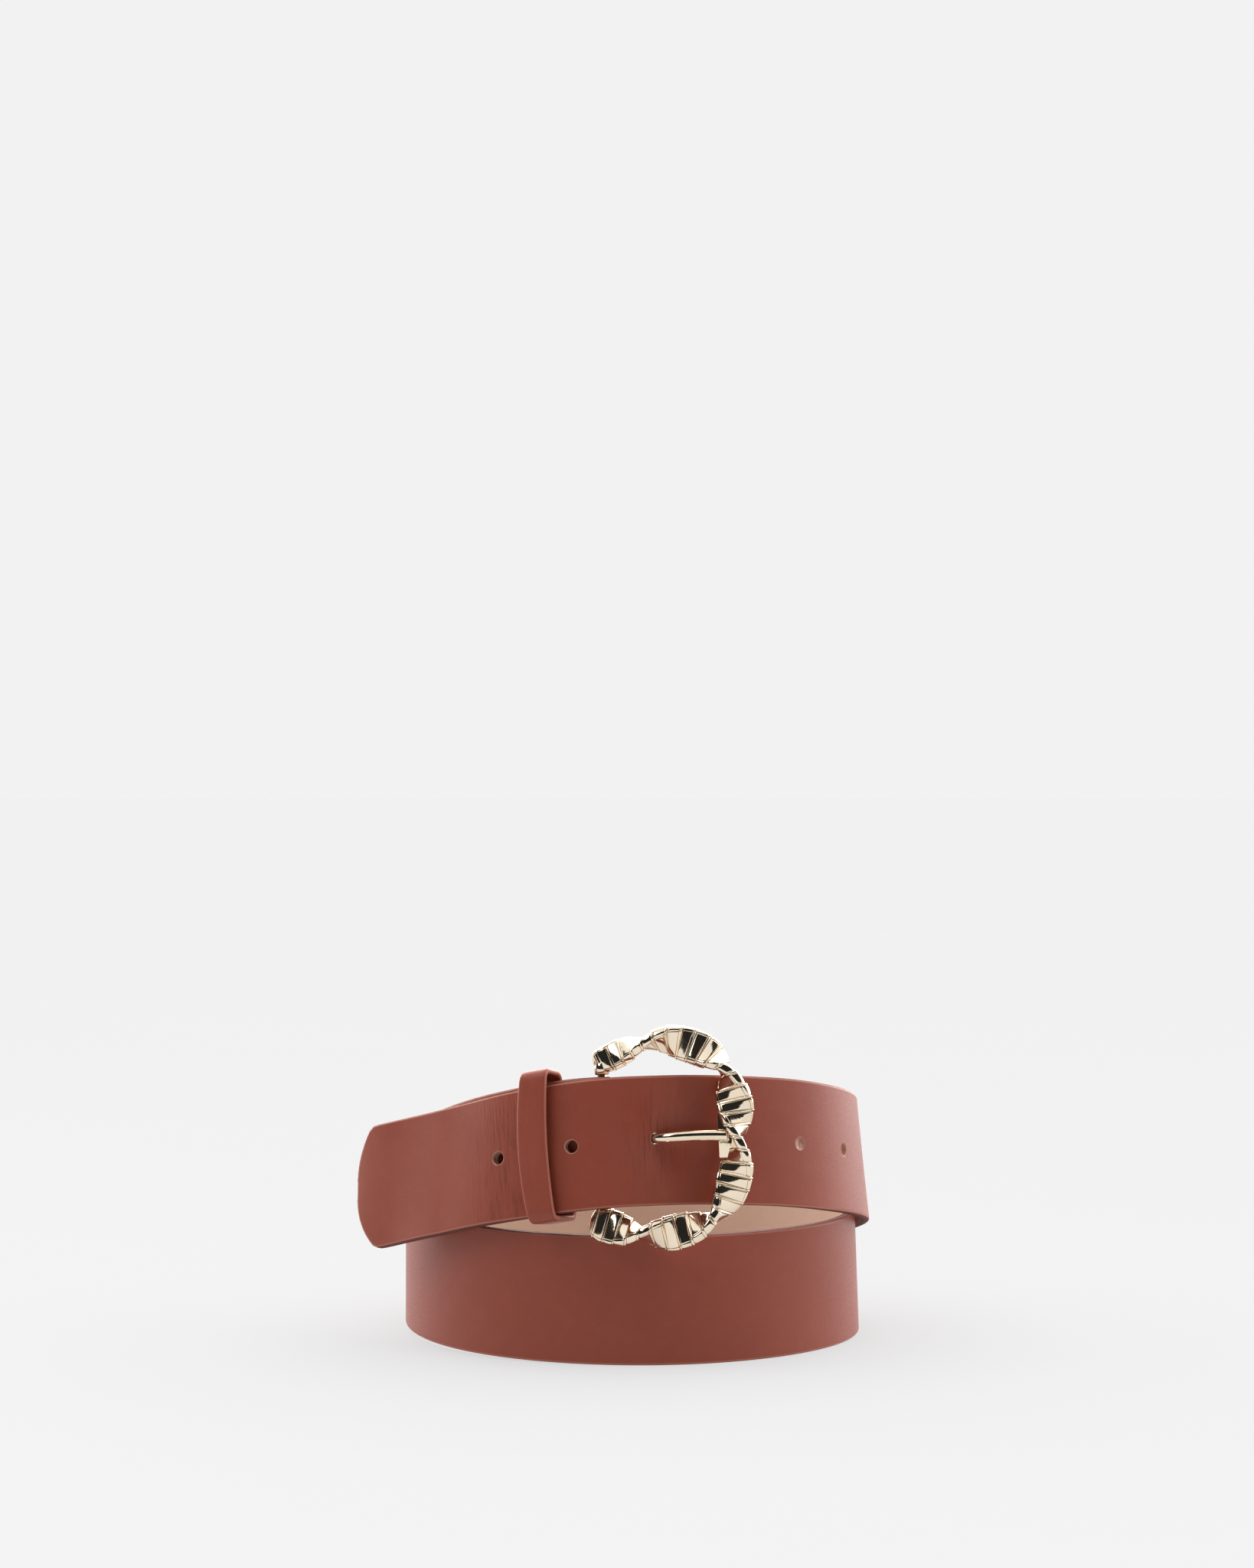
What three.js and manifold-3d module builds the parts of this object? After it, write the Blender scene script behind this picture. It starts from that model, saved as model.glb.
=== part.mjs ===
// A wide leather belt with a twisted cast buckle. It is fastened and coiled twice round on
// itself, standing on its lower edge. Millimetres, +Z up. The buckle faces -Y, and the origin
// is on the ground under the middle of the belt.
import * as THREE from "three";
import { mergeVertices } from "three/addons/utils/BufferGeometryUtils.js";
import Module from "manifold-3d";

const wasm = await Module();
wasm.setup();

// Strap
const BELT_WIDTH = 40;
const LEATHER = 1.1; // thickness of the face leather, and of the lining
const FILLER = 0.6; // the board between them
const LAYER_GAP = 0.1;
const STRAP_THICKNESS = 2 * LEATHER + FILLER + 2 * LAYER_GAP;
const STATION_STEP = 6; // degrees of coil between the strap's cross sections
const HOLE_RADIUS = 2;
const HOLE_PITCH = 25.4;
const HOLES_TO_TIP = 2; // holes between the one in use and the tip
const HOLES_SPARE = 3; // holes on the other side of it

// The coil, followed from the buckle bar to the tip: degrees round the centre (0 is the middle
// of the front, growing towards -X), radius, height of the centreline, lean of the top edge
// towards the centre in degrees.
const COIL = [
  [0, 71.8, 69.6, 4],
  [12, 71.6, 68.7, 7],
  [30, 70.8, 64.8, 8],
  [45, 68.8, 60.4, 3],
  [60, 68.8, 55.0, 0],
  [90, 69.2, 40.5, 0],
  [120, 69.2, 26.5, -1],
  [150, 69.0, 21.0, -2],
  [165, 69.3, 20.2, -1],
  [180, 69.8, 20.2, 0],
  [225, 70.8, 20.2, 1],
  [270, 72.4, 20.2, 2],
  [315, 73.2, 20.2, 1],
  [360, 73.6, 20.2, 0],
  [405, 73.8, 21.0, 0],
  [450, 73.7, 22.8, 0],
  [480, 74.1, 23.8, -1],
  [510, 74.5, 26.0, -1],
  [540, 74.8, 30.6, 2],
  [585, 74.6, 41.5, 5],
  [630, 74.5, 55.2, 6],
  [660, 74.8, 63.2, 6],
  [684, 75.2, 68.0, 5],
  [696, 74.9, 69.3, 4],
  [706, 74.6, 69.9, 4],
  [716, 75.7, 69.9, 4],
  [724, 76.3, 69.5, 5],
  [734, 76.2, 67.9, 8],
  [744, 75.8, 65.5, 10],
  [752, 76.0, 63.3, 12],
  [771, 77.5, 57.2, 14],
  [784, 83.2, 52.6, 13],
  [794, 92.0, 48.3, 12],
];
const BAR_ANGLE = 7.4; // where the strap turns round the buckle bar

// Outline of the tip: distance from its end, half width
const TIP = [
  [0, 3],
  [0.25, 6],
  [0.8, 8.8],
  [1.8, 11.6],
  [3.1, 14.2],
  [4.7, 16.7],
  [6.2, 18.6],
  [7.4, 19.65],
  [8.8, 20],
];

// Buckle
const BAR_RADIUS = 1.5;
const BAR_HALF_LENGTH = 23;
const PIN_CLEARANCE = 0.15;
const BAR_TO_LEATHER = 0.3;
const FOLD_BACK = 46; // length of leather turned back behind the bar
const FOLD_CLOSED = 7; // where the turned-back leather meets the strap again
const FILLER_START = 14;
const BUCKLE_TILT = 3.2; // degrees the buckle stands off the strap
const SECTION_SIDES = 10;
const FRAME_STEPS = 76;
const RIBBON_HALF = 1.9;
// Centreline of the twisted frame, from the top end of the bar clockwise to the bottom end:
// distance from the bar, height, distance in front of the bar, twist in degrees, half width,
// half thickness
const FRAME = [
  [0.3, 20.7, 0, 0, 2.3, 2.3],
  [0.1, 22.5, 0, 0, 3.3, 2.2],
  [1.7, 25, 0.3, 0, 4.1, RIBBON_HALF],
  [6.6, 27.4, 0.6, 30, 4.6, RIBBON_HALF],
  [14.6, 29.7, 0.6, 90, 5.0, RIBBON_HALF],
  [21, 30.4, 0.4, 135, 5.2, RIBBON_HALF],
  [27.2, 28.9, 0.2, 180, 5.4, RIBBON_HALF],
  [33.6, 25.9, 0, 214, 5.4, RIBBON_HALF],
  [38.4, 21.4, 0, 270, 5.2, RIBBON_HALF],
  [41.4, 11, 0, 360, 5.8, RIBBON_HALF],
  [42, 0.5, 0, 450, 5.6, RIBBON_HALF],
  [40.5, -12.4, 0, 540, 5.7, RIBBON_HALF],
  [34.4, -24.3, 0.6, 630, 5.2, RIBBON_HALF],
  [22.8, -28.6, 3.4, 720, 5.6, RIBBON_HALF],
  [11.2, -28.8, 4.8, 810, 5.1, RIBBON_HALF],
  [2.6, -26.8, 3.5, 885, 5.0, RIBBON_HALF],
  [-0.6, -23.6, 1.0, 900, 4.0, 2.1],
  [0, -20.7, 0, 900, 2.3, 2.3],
];
const REST_FROM = 35.9; // the bridge behind the prong's tip, measured from the bar
const REST_TO = 39.0;
const REST_LOW = -6.5;
const REST_HIGH = 7;
const REST_FRONT = -0.2;
const REST_BACK = -1.4;

// Prong: distance from the bar, height, distance in front of the buckle's plane, radius
const PRONG = [
  [2.2, 0, 0, 1.5],
  [8, 0.1, -0.2, 1.5],
  [12.8, 0.2, -0.3, 1.5],
  [15, 0.3, 0.8, 1.5],
  [17.2, 0.3, 3.0, 1.55],
  [19.8, 0.4, 4.3, 1.6],
  [26, 0.6, 4.2, 1.7],
  [32, 0.6, 3.2, 1.8],
  [39.3, 0.3, 2.0, 1.85],
];
const PRONG_SIDES = 12;
const COLLAR_RADIUS = 2.8;
const COLLAR_HALF = 2.4;
const FOLD_SLOT_HALF = 2.8; // half height of the slot the prong leaves the fold by
const HOLE_IN_USE_AT = 16.1; // from the bar to the hole the prong is in
const STRETCHED_HOLE = [4.9, 2.3]; // its half length and half height
const STRETCHED_HOLE_SHIFT = 0.6; // of its middle towards the tip
const STRETCHED_HOLE_HEIGHT = 0.6;

// Keeper
const KEEPER_AT = 17.4; // from the bar along the strap
const KEEPER_LENGTH = 10;
const KEEPER_WALL = 2.1;
const KEEPER_HALF_HEIGHT = 21.7;
const KEEPER_INNER = -2.8; // inside faces of the loop, from the strap's mid thickness
const KEEPER_OUTER = 7.9;
const KEEPER_CORNER = 1.2;
const SEAM = 0.4;
const STAPLE_HALF = 3.2;
const STAPLE_WIRE = 0.7;
const STAPLE_DEPTH = 1.5;

// Rivets of the fold: distance from the bar, height
const RIVETS = [
  [9.9, 11],
  [9.9, -11],
  [38, 11],
  [38, -11],
];
const RIVET_HEAD = 2.2;
const RIVET_POST = 1.1;
const RIVET_HEIGHT = 0.8;
const RIVET_CLEARANCE = 0.3;
const RIVET_GAP = 0.3;

const LEATHER_BROWN = 0x8d4a3c;
const LINING_BEIGE = 0xc9ab97;
const BOARD_GREY = 0x8a7a6c;
const PALE_GOLD = 0xd9c3a0;

const rad = THREE.MathUtils.degToRad;

// Value of a table of rows [x, a, b, ...] at x: a cubic with continuous slope through the rows
function smooth(table, x) {
  const last = table.length - 1;
  let i = 0;
  while (i < last - 1 && x >= table[i + 1][0]) i += 1;
  const slope = (k, column) => {
    const chord = (j) => (table[j + 1][column] - table[j][column]) / (table[j + 1][0] - table[j][0]);
    if (k === 0) return chord(0);
    if (k === last) return chord(last - 1);
    const before = table[k][0] - table[k - 1][0];
    const after = table[k + 1][0] - table[k][0];
    return (chord(k - 1) * after + chord(k) * before) / (before + after);
  };
  const span = table[i + 1][0] - table[i][0];
  const t = (x - table[i][0]) / span;
  return table[i].slice(1).map((_, k) => {
    const column = k + 1;
    return (
      (2 * t ** 3 - 3 * t ** 2 + 1) * table[i][column] +
      (t ** 3 - 2 * t ** 2 + t) * span * slope(i, column) +
      (3 * t ** 2 - 2 * t ** 3) * table[i + 1][column] +
      (t ** 3 - t ** 2) * span * slope(i + 1, column)
    );
  });
}

// Centreline of the strap at an angle of the coil
function centre(angle) {
  const [radius, height] = smooth(COIL, angle);
  return new THREE.Vector3(-radius * Math.sin(rad(angle)), -radius * Math.cos(rad(angle)), height);
}

// Length along the centreline, tabled every half degree
const COIL_END = COIL[COIL.length - 1][0];
const LENGTHS = [0];
for (let angle = 0.5; angle <= COIL_END; angle += 0.5) {
  const step = centre(angle).distanceTo(centre(angle - 0.5));
  LENGTHS.push(LENGTHS[LENGTHS.length - 1] + step);
}

function lengthAt(angle) {
  const i = Math.min(Math.floor(angle * 2), LENGTHS.length - 2);
  return LENGTHS[i] + (LENGTHS[i + 1] - LENGTHS[i]) * (angle * 2 - i);
}

function angleAt(length) {
  let i = 0;
  while (i < LENGTHS.length - 2 && LENGTHS[i + 1] < length) i += 1;
  return (i + (length - LENGTHS[i]) / (LENGTHS[i + 1] - LENGTHS[i])) / 2;
}

// Directions of the strap at a length: along it, across it (up) and out of its face
function strapAt(length) {
  const angle = angleAt(length);
  const lean = rad(smooth(COIL, angle)[2]);
  const along = centre(angle + 0.5).sub(centre(angle - 0.5)).normalize();
  const outward = new THREE.Vector3(along.y, -along.x, 0).normalize().negate();
  const upward = new THREE.Vector3().crossVectors(along, outward);
  const across = upward.clone().multiplyScalar(Math.cos(lean));
  across.addScaledVector(outward, -Math.sin(lean));
  const normal = outward.clone().multiplyScalar(Math.cos(lean));
  normal.addScaledVector(upward, Math.sin(lean));
  return { origin: centre(angle), along, across, normal };
}

function strapPoint(length, offset, height) {
  const strap = strapAt(length);
  return strap.origin.addScaledVector(strap.normal, offset).addScaledVector(strap.across, height);
}

// Matrix of the strap's surface at a length and height: x out of the face, y across, z along
function strapMatrix(length, height = 0) {
  const { across } = strapAt(length);
  const along = strapPoint(length + 1, 0, height).sub(strapPoint(length - 1, 0, height));
  along.addScaledVector(across, -along.dot(across)).normalize();
  const normal = new THREE.Vector3().crossVectors(across, along);
  const matrix = new THREE.Matrix4().makeBasis(normal, across, along);
  return matrix.setPosition(strapPoint(length, 0, height));
}

// Closed geometry from points and triangles, with its faces turned outwards
function closed(points, triangles) {
  const geometry = new THREE.BufferGeometry().setFromPoints(points);
  const volume = triangles.reduce((sum, [a, b, c]) => {
    const cross = new THREE.Vector3().crossVectors(points[b], points[c]);
    return sum + points[a].dot(cross);
  }, 0);
  geometry.setIndex(triangles.flatMap(([a, b, c]) => (volume < 0 ? [a, c, b] : [a, b, c])));
  return geometry;
}

// Closed skin over rings that all have the same number of points. The diagonals of opposite
// sides run the same way, so a twisted strip keeps its thickness.
function skin(rings) {
  const n = rings[0].length;
  const triangles = [];
  for (let i = 0; i < rings.length - 1; i += 1) {
    for (let j = 0; j < n; j += 1) {
      const a = i * n + j;
      const b = i * n + ((j + 1) % n);
      if (j < n / 2) triangles.push([a, b, b + n], [a, b + n, a + n]);
      else triangles.push([a, b, a + n], [b, b + n, a + n]);
    }
  }
  const end = (rings.length - 1) * n;
  for (let j = 1; j < n - 1; j += 1) {
    triangles.push([0, j + 1, j], [end, end + j, end + j + 1]);
  }
  return closed(rings.flat(), triangles);
}

function solid(geometry, matrix) {
  const bare = geometry.clone();
  bare.deleteAttribute("normal");
  bare.deleteAttribute("uv");
  const merged = mergeVertices(bare, 1e-4);
  if (matrix) merged.applyMatrix4(matrix);
  const mesh = new wasm.Mesh({
    numProp: 3,
    vertProperties: new Float32Array(merged.attributes.position.array),
    triVerts: new Uint32Array(merged.index.array),
  });
  return new wasm.Manifold(mesh);
}

function geometryOf(manifold) {
  const mesh = manifold.getMesh();
  const geometry = new THREE.BufferGeometry();
  geometry.setAttribute("position", new THREE.BufferAttribute(mesh.vertProperties, 3));
  geometry.setIndex(new THREE.BufferAttribute(mesh.triVerts, 1));
  return geometry;
}

const cut = (body, cutters) => cutters.reduce((rest, cutter) => rest.subtract(cutter), body);

// A cylinder through the strap's thickness
function drill(length, height, radius, stretch = 1) {
  const cylinder = new THREE.CylinderGeometry(radius, radius, STRAP_THICKNESS + 3.4, 16);
  cylinder.rotateZ(Math.PI / 2);
  cylinder.scale(1, 1, stretch);
  return solid(cylinder, strapMatrix(length, height));
}

const BAR_AT = lengthAt(BAR_ANGLE);
const TIP_AT = LENGTHS[LENGTHS.length - 1];
const HOLE_IN_USE = lengthAt(720 + BAR_ANGLE) - HOLE_IN_USE_AT;
const SURFACE = STRAP_THICKNESS / 2;
const FACE_MID = SURFACE - LEATHER / 2;
const BAR_OFFSET = SURFACE - LEATHER - BAR_TO_LEATHER - BAR_RADIUS;
const TURN_RADIUS = BAR_RADIUS + BAR_TO_LEATHER + LEATHER / 2;

// Lengths at which every layer has a cross section, so that they nest
const stations = [BAR_AT, BAR_AT + FOLD_BACK, BAR_AT + FOLD_BACK + 0.4, BAR_AT + FILLER_START];
for (let angle = 12; angle < COIL_END - 10; angle += STATION_STEP) stations.push(lengthAt(angle));
for (const [distance] of TIP) stations.push(TIP_AT - distance);
stations.sort((a, b) => a - b);

function halfWidth(length) {
  const distance = TIP_AT - length;
  const end = TIP[TIP.length - 1];
  return distance >= end[0] ? BELT_WIDTH / 2 : smooth(TIP, distance)[0];
}

// A layer of the strap along a path of [length, offset] points at its mid thickness
function layer(path, thickness) {
  const rings = path.map(([length, offset], i) => {
    const before = path[Math.max(i - 1, 0)];
    const after = path[Math.min(i + 1, path.length - 1)];
    const run = after[0] - before[0];
    const rise = after[1] - before[1];
    const size = Math.hypot(run, rise);
    const half = halfWidth(length);
    const corner = (side, height) =>
      strapPoint(
        length - (side * thickness * rise) / (2 * size),
        offset + (side * thickness * run) / (2 * size),
        height,
      );
    return [corner(1, half), corner(1, -half), corner(-1, -half), corner(-1, half)];
  });
  return solid(skin(rings));
}

const runOf = (from, offset) => stations.filter((s) => s >= from - 1e-6).map((s) => [s, offset]);

// The end of the face leather: round the bar and back along the inside of the strap
function foldPath() {
  const path = [
    [BAR_AT + 1, FACE_MID],
    [BAR_AT, FACE_MID],
  ];
  for (let turn = 30; turn < 180; turn += 30) {
    path.push([
      BAR_AT - TURN_RADIUS * Math.sin(rad(turn)),
      BAR_OFFSET + TURN_RADIUS * Math.cos(rad(turn)),
    ]);
  }
  const start = BAR_OFFSET - TURN_RADIUS;
  for (const t of [0, 0.25, 0.5, 0.75, 1]) {
    const ease = t * t * (3 - 2 * t);
    path.push([BAR_AT + FOLD_CLOSED * t, start + (-FACE_MID - start) * ease]);
  }
  const back = runOf(BAR_AT + FOLD_CLOSED + 1, -FACE_MID);
  return path.concat(back.filter(([s]) => s <= BAR_AT + FOLD_BACK + 1e-6));
}

const punched = [];
for (let k = -HOLES_SPARE; k <= HOLES_TO_TIP; k += 1) {
  const at = HOLE_IN_USE + k * HOLE_PITCH;
  if (k === 0) {
    const [halfLength, halfHeight] = STRETCHED_HOLE;
    const middle = at + STRETCHED_HOLE_SHIFT;
    punched.push(drill(middle, STRETCHED_HOLE_HEIGHT, halfHeight, halfLength / halfHeight));
  } else punched.push(drill(at, 0, HOLE_RADIUS));
}
const rivetHoles = RIVETS.map(([distance, height]) =>
  drill(BAR_AT + distance, height, RIVET_POST + RIVET_CLEARANCE),
);
const slotBox = new THREE.BoxGeometry(11, 2 * FOLD_SLOT_HALF, 13.4).translate(-4, 0, 0.4);
const foldSlot = solid(slotBox, strapMatrix(BAR_AT));

const faceLayer = layer(runOf(BAR_AT, FACE_MID), LEATHER).add(layer(foldPath(), LEATHER));
const face = cut(faceLayer, [...punched, ...rivetHoles, foldSlot]);
const filler = cut(layer(runOf(BAR_AT + FILLER_START, 0), FILLER), [...punched, ...rivetHoles]);
const lining = cut(layer(runOf(BAR_AT + FOLD_BACK + 0.4, -FACE_MID), LEATHER), punched);

// The buckle's own frame: x away from the bar, y up along it, z out to the front
const barFrame = strapAt(BAR_AT);
const barCentre = strapPoint(BAR_AT, BAR_OFFSET, 0);
const outOfBuckle = barFrame.normal.clone().applyAxisAngle(barFrame.across, -rad(BUCKLE_TILT));
const awayFromBar = new THREE.Vector3().crossVectors(barFrame.across, outOfBuckle);
const buckleMatrix = new THREE.Matrix4()
  .makeBasis(awayFromBar, barFrame.across, outOfBuckle)
  .setPosition(barCentre);

// Distance along the frame's centreline as the first column of a table
function withDistance(rows) {
  let distance = 0;
  return rows.map((row, i) => {
    if (i > 0) distance += Math.hypot(row[0] - rows[i - 1][0], row[1] - rows[i - 1][1]);
    return [distance, ...row];
  });
}

function twistedFrame() {
  const table = withDistance(FRAME);
  const end = table[table.length - 1][0];
  const rings = [];
  for (let i = 0; i <= FRAME_STEPS; i += 1) {
    const at = (end * i) / FRAME_STEPS;
    const [x, y, z, twist, wide, thick] = smooth(table, at);
    const [x0, y0] = smooth(table, Math.max(at - 0.2, 0));
    const [x1, y1] = smooth(table, Math.min(at + 0.2, end));
    const outward = new THREE.Vector3(-(y1 - y0), x1 - x0, 0).normalize();
    const front = new THREE.Vector3(0, 0, 1);
    const edge = outward.clone().multiplyScalar(-Math.cos(rad(twist)));
    edge.addScaledVector(front, Math.sin(rad(twist)));
    const flat = outward.clone().multiplyScalar(Math.sin(rad(twist)));
    flat.addScaledVector(front, Math.cos(rad(twist)));
    const ring = [];
    for (let k = 0; k < SECTION_SIDES; k += 1) {
      const a = (2 * Math.PI * k) / SECTION_SIDES;
      const point = new THREE.Vector3(x, y, z);
      point.addScaledVector(edge, wide * Math.cos(a)).addScaledVector(flat, thick * Math.sin(a));
      ring.push(point);
    }
    rings.push(ring);
  }
  return solid(skin(rings));
}

function pin(radius, from, to) {
  const cylinder = new THREE.CylinderGeometry(radius, radius, to - from, 16);
  return cylinder.translate(0, (from + to) / 2, 0);
}

function prongTube(grow) {
  const table = withDistance(PRONG);
  const rings = [];
  for (let i = 0; i < 21; i += 1) {
    const at = (table[table.length - 1][0] * i) / 20;
    const [x, y, z, radius] = smooth(table, at);
    const [x1, y1, z1] = smooth(table, at + 0.1);
    const run = new THREE.Vector3(x1 - x, y1 - y, z1 - z).normalize();
    const up = new THREE.Vector3(0, 1, 0).addScaledVector(run, -run.y).normalize();
    const side = new THREE.Vector3().crossVectors(run, up);
    const ring = [];
    for (let k = 0; k < PRONG_SIDES; k += 1) {
      const a = (2 * Math.PI * k) / PRONG_SIDES;
      const point = new THREE.Vector3(x, y, z);
      point.addScaledVector(up, (radius + grow) * Math.cos(a));
      point.addScaledVector(side, (radius + grow) * Math.sin(a));
      ring.push(point);
    }
    rings.push(ring);
  }
  return solid(skin(rings));
}

const restBox = new THREE.BoxGeometry(
  REST_TO - REST_FROM,
  REST_HIGH - REST_LOW,
  REST_FRONT - REST_BACK,
).translate((REST_FROM + REST_TO) / 2, (REST_LOW + REST_HIGH) / 2, (REST_FRONT + REST_BACK) / 2);
const bores = solid(pin(BAR_RADIUS + PIN_CLEARANCE, -BAR_HALF_LENGTH - 0.3, BAR_HALF_LENGTH + 0.3));
const frame = cut(twistedFrame().add(solid(restBox)), [bores]);

const collar = solid(pin(COLLAR_RADIUS, -COLLAR_HALF, COLLAR_HALF));
const collarBore = solid(pin(BAR_RADIUS + PIN_CLEARANCE, -COLLAR_HALF - 1, COLLAR_HALF + 1));
const prong = collar.add(prongTube(0)).subtract(collarBore);

// Keeper: a closed band round both thicknesses, its ends meeting behind the strap
function rounded(x0, x1, halfHeight, corner) {
  const shape = new THREE.Shape();
  shape.moveTo(x0 + corner, -halfHeight);
  shape.lineTo(x1 - corner, -halfHeight);
  shape.absarc(x1 - corner, -halfHeight + corner, corner, -Math.PI / 2, 0);
  shape.lineTo(x1, halfHeight - corner);
  shape.absarc(x1 - corner, halfHeight - corner, corner, 0, Math.PI / 2);
  shape.lineTo(x0 + corner, halfHeight);
  shape.absarc(x0 + corner, halfHeight - corner, corner, Math.PI / 2, Math.PI);
  shape.lineTo(x0, -halfHeight + corner);
  shape.absarc(x0 + corner, -halfHeight + corner, corner, Math.PI, 1.5 * Math.PI);
  return shape;
}

const bandShape = rounded(
  KEEPER_INNER - KEEPER_WALL,
  KEEPER_OUTER + KEEPER_WALL,
  KEEPER_HALF_HEIGHT + KEEPER_WALL,
  KEEPER_CORNER + KEEPER_WALL,
);
bandShape.holes.push(rounded(KEEPER_INNER, KEEPER_OUTER, KEEPER_HALF_HEIGHT, KEEPER_CORNER));
const bandGeometry = new THREE.ExtrudeGeometry(bandShape, {
  depth: KEEPER_LENGTH,
  bevelEnabled: false,
  curveSegments: 4,
}).translate(0, 0, -KEEPER_LENGTH / 2);

// The staple's crown lies behind the band, and its two legs go into it
const bandBack = KEEPER_INNER - KEEPER_WALL;
function stapleBody(grow) {
  const crownDepth = STAPLE_WIRE;
  const crown = new THREE.BoxGeometry(crownDepth, 2 * STAPLE_HALF + STAPLE_WIRE, STAPLE_WIRE);
  crown.translate(bandBack - crownDepth / 2 - RIVET_GAP, 0, 0);
  const legLength = STAPLE_DEPTH + RIVET_GAP + crownDepth / 2 + grow;
  const legs = [-1, 1].map((side) => {
    const leg = new THREE.BoxGeometry(legLength, STAPLE_WIRE + 2 * grow, STAPLE_WIRE + 2 * grow);
    const middle = bandBack - RIVET_GAP - crownDepth / 2 + legLength / 2;
    return solid(leg.translate(middle, side * STAPLE_HALF, 0));
  });
  return grow > 0 ? legs[0].add(legs[1]) : solid(crown).add(legs[0]).add(legs[1]);
}
const seamBox = new THREE.BoxGeometry(KEEPER_WALL + 0.4, SEAM, KEEPER_LENGTH + 1);
seamBox.translate(KEEPER_INNER - KEEPER_WALL / 2, 0, 0);
const band = cut(solid(bandGeometry), [solid(seamBox), stapleBody(0.15)]);

// Rivets: a domed head with a post, and the ring the post is set into behind the strap
const headProfile = [
  [0, -SURFACE - 2 * RIVET_GAP - RIVET_HEIGHT],
  [RIVET_POST, -SURFACE - 2 * RIVET_GAP - RIVET_HEIGHT],
  [RIVET_POST, SURFACE + RIVET_GAP],
  [RIVET_HEAD, SURFACE + RIVET_GAP],
  [RIVET_HEAD * 0.8, SURFACE + RIVET_GAP + RIVET_HEIGHT * 0.7],
  [RIVET_HEAD * 0.4, SURFACE + RIVET_GAP + RIVET_HEIGHT],
  [0, SURFACE + RIVET_GAP + RIVET_HEIGHT],
];
const ringInner = RIVET_POST + PIN_CLEARANCE;
const ringProfile = [
  [ringInner, -SURFACE - RIVET_GAP],
  [ringInner, -SURFACE - RIVET_GAP - RIVET_HEIGHT],
  [RIVET_HEAD * 0.8, -SURFACE - RIVET_GAP - RIVET_HEIGHT],
  [RIVET_HEAD, -SURFACE - RIVET_GAP],
  [ringInner, -SURFACE - RIVET_GAP],
];
const turned = (profile) => {
  const points = profile.map(([x, y]) => new THREE.Vector2(x, y));
  return new THREE.LatheGeometry(points, 16).rotateZ(-Math.PI / 2);
};

const group = new THREE.Group();
function add(name, manifold, colour, metalness, roughness, matrix) {
  const material = new THREE.MeshStandardMaterial({ color: colour, metalness, roughness });
  const mesh = new THREE.Mesh(geometryOf(manifold), material);
  mesh.name = name;
  if (matrix) mesh.applyMatrix4(matrix);
  group.add(mesh);
}

add("strap_face", face, LEATHER_BROWN, 0, 0.5);
add("strap_filler", filler, BOARD_GREY, 0, 0.9);
add("strap_lining", lining, LINING_BEIGE, 0, 0.7);
add("buckle_frame", frame, PALE_GOLD, 1, 0.15, buckleMatrix);
add("hinge_bar", solid(pin(BAR_RADIUS, -BAR_HALF_LENGTH, BAR_HALF_LENGTH)), PALE_GOLD, 1, 0.2, buckleMatrix);
add("prong", prong, PALE_GOLD, 1, 0.15, buckleMatrix);
add("keeper_band", band, LEATHER_BROWN, 0, 0.5, strapMatrix(BAR_AT + KEEPER_AT));
add("keeper_staple", stapleBody(0), PALE_GOLD, 1, 0.3, strapMatrix(BAR_AT + KEEPER_AT));
RIVETS.forEach(([distance, height], i) => {
  const place = strapMatrix(BAR_AT + distance, height);
  add(`rivet_head_${i + 1}`, solid(turned(headProfile)), PALE_GOLD, 1, 0.3, place);
  add(`rivet_ring_${i + 1}`, solid(turned(ringProfile)), PALE_GOLD, 1, 0.3, place);
});

// The pieces are made round the coil's centre. The origin moves to the middle of the ground box.
const box = new THREE.Box3().setFromObject(group, true);
const middle = box.getCenter(new THREE.Vector3());
group.position.set(-middle.x, -middle.y, -box.min.z);

export default group;
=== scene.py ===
import math

import bpy
import numpy as np
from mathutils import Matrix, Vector


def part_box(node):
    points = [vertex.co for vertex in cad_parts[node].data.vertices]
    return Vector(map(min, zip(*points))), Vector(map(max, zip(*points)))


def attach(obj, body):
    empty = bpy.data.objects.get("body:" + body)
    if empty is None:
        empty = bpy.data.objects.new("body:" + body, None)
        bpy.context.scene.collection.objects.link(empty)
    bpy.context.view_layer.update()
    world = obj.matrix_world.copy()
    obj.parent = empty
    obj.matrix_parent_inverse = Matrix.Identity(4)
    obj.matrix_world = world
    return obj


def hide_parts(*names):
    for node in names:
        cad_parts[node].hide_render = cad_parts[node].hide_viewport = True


# A wide leather belt with a twisted cast buckle, fastened and coiled twice round on itself. The
# strap, lining, keeper and metalwork are fine meshes in the place of the CAD solids. The coil,
# the tip and the prong have the same tables as there, and the frame's ends run a little further.
# Lengths are millimetres round the coil's centre, until mesh_piece() turns them into metres in
# the CAD frame. "Left" is towards the tip.

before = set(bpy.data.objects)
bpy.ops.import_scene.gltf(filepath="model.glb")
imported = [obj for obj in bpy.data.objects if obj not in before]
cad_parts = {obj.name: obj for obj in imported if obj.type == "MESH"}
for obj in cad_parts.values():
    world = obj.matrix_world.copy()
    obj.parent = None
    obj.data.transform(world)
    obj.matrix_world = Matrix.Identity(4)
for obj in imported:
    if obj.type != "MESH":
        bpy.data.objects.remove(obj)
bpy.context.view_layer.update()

MM = 0.001

# ---------------------------------------------------------------- dimensions

BELT_WIDTH = 40.0
LEATHER = 1.1
STRAP_THICKNESS = 3.0
SURFACE = STRAP_THICKNESS / 2

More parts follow.
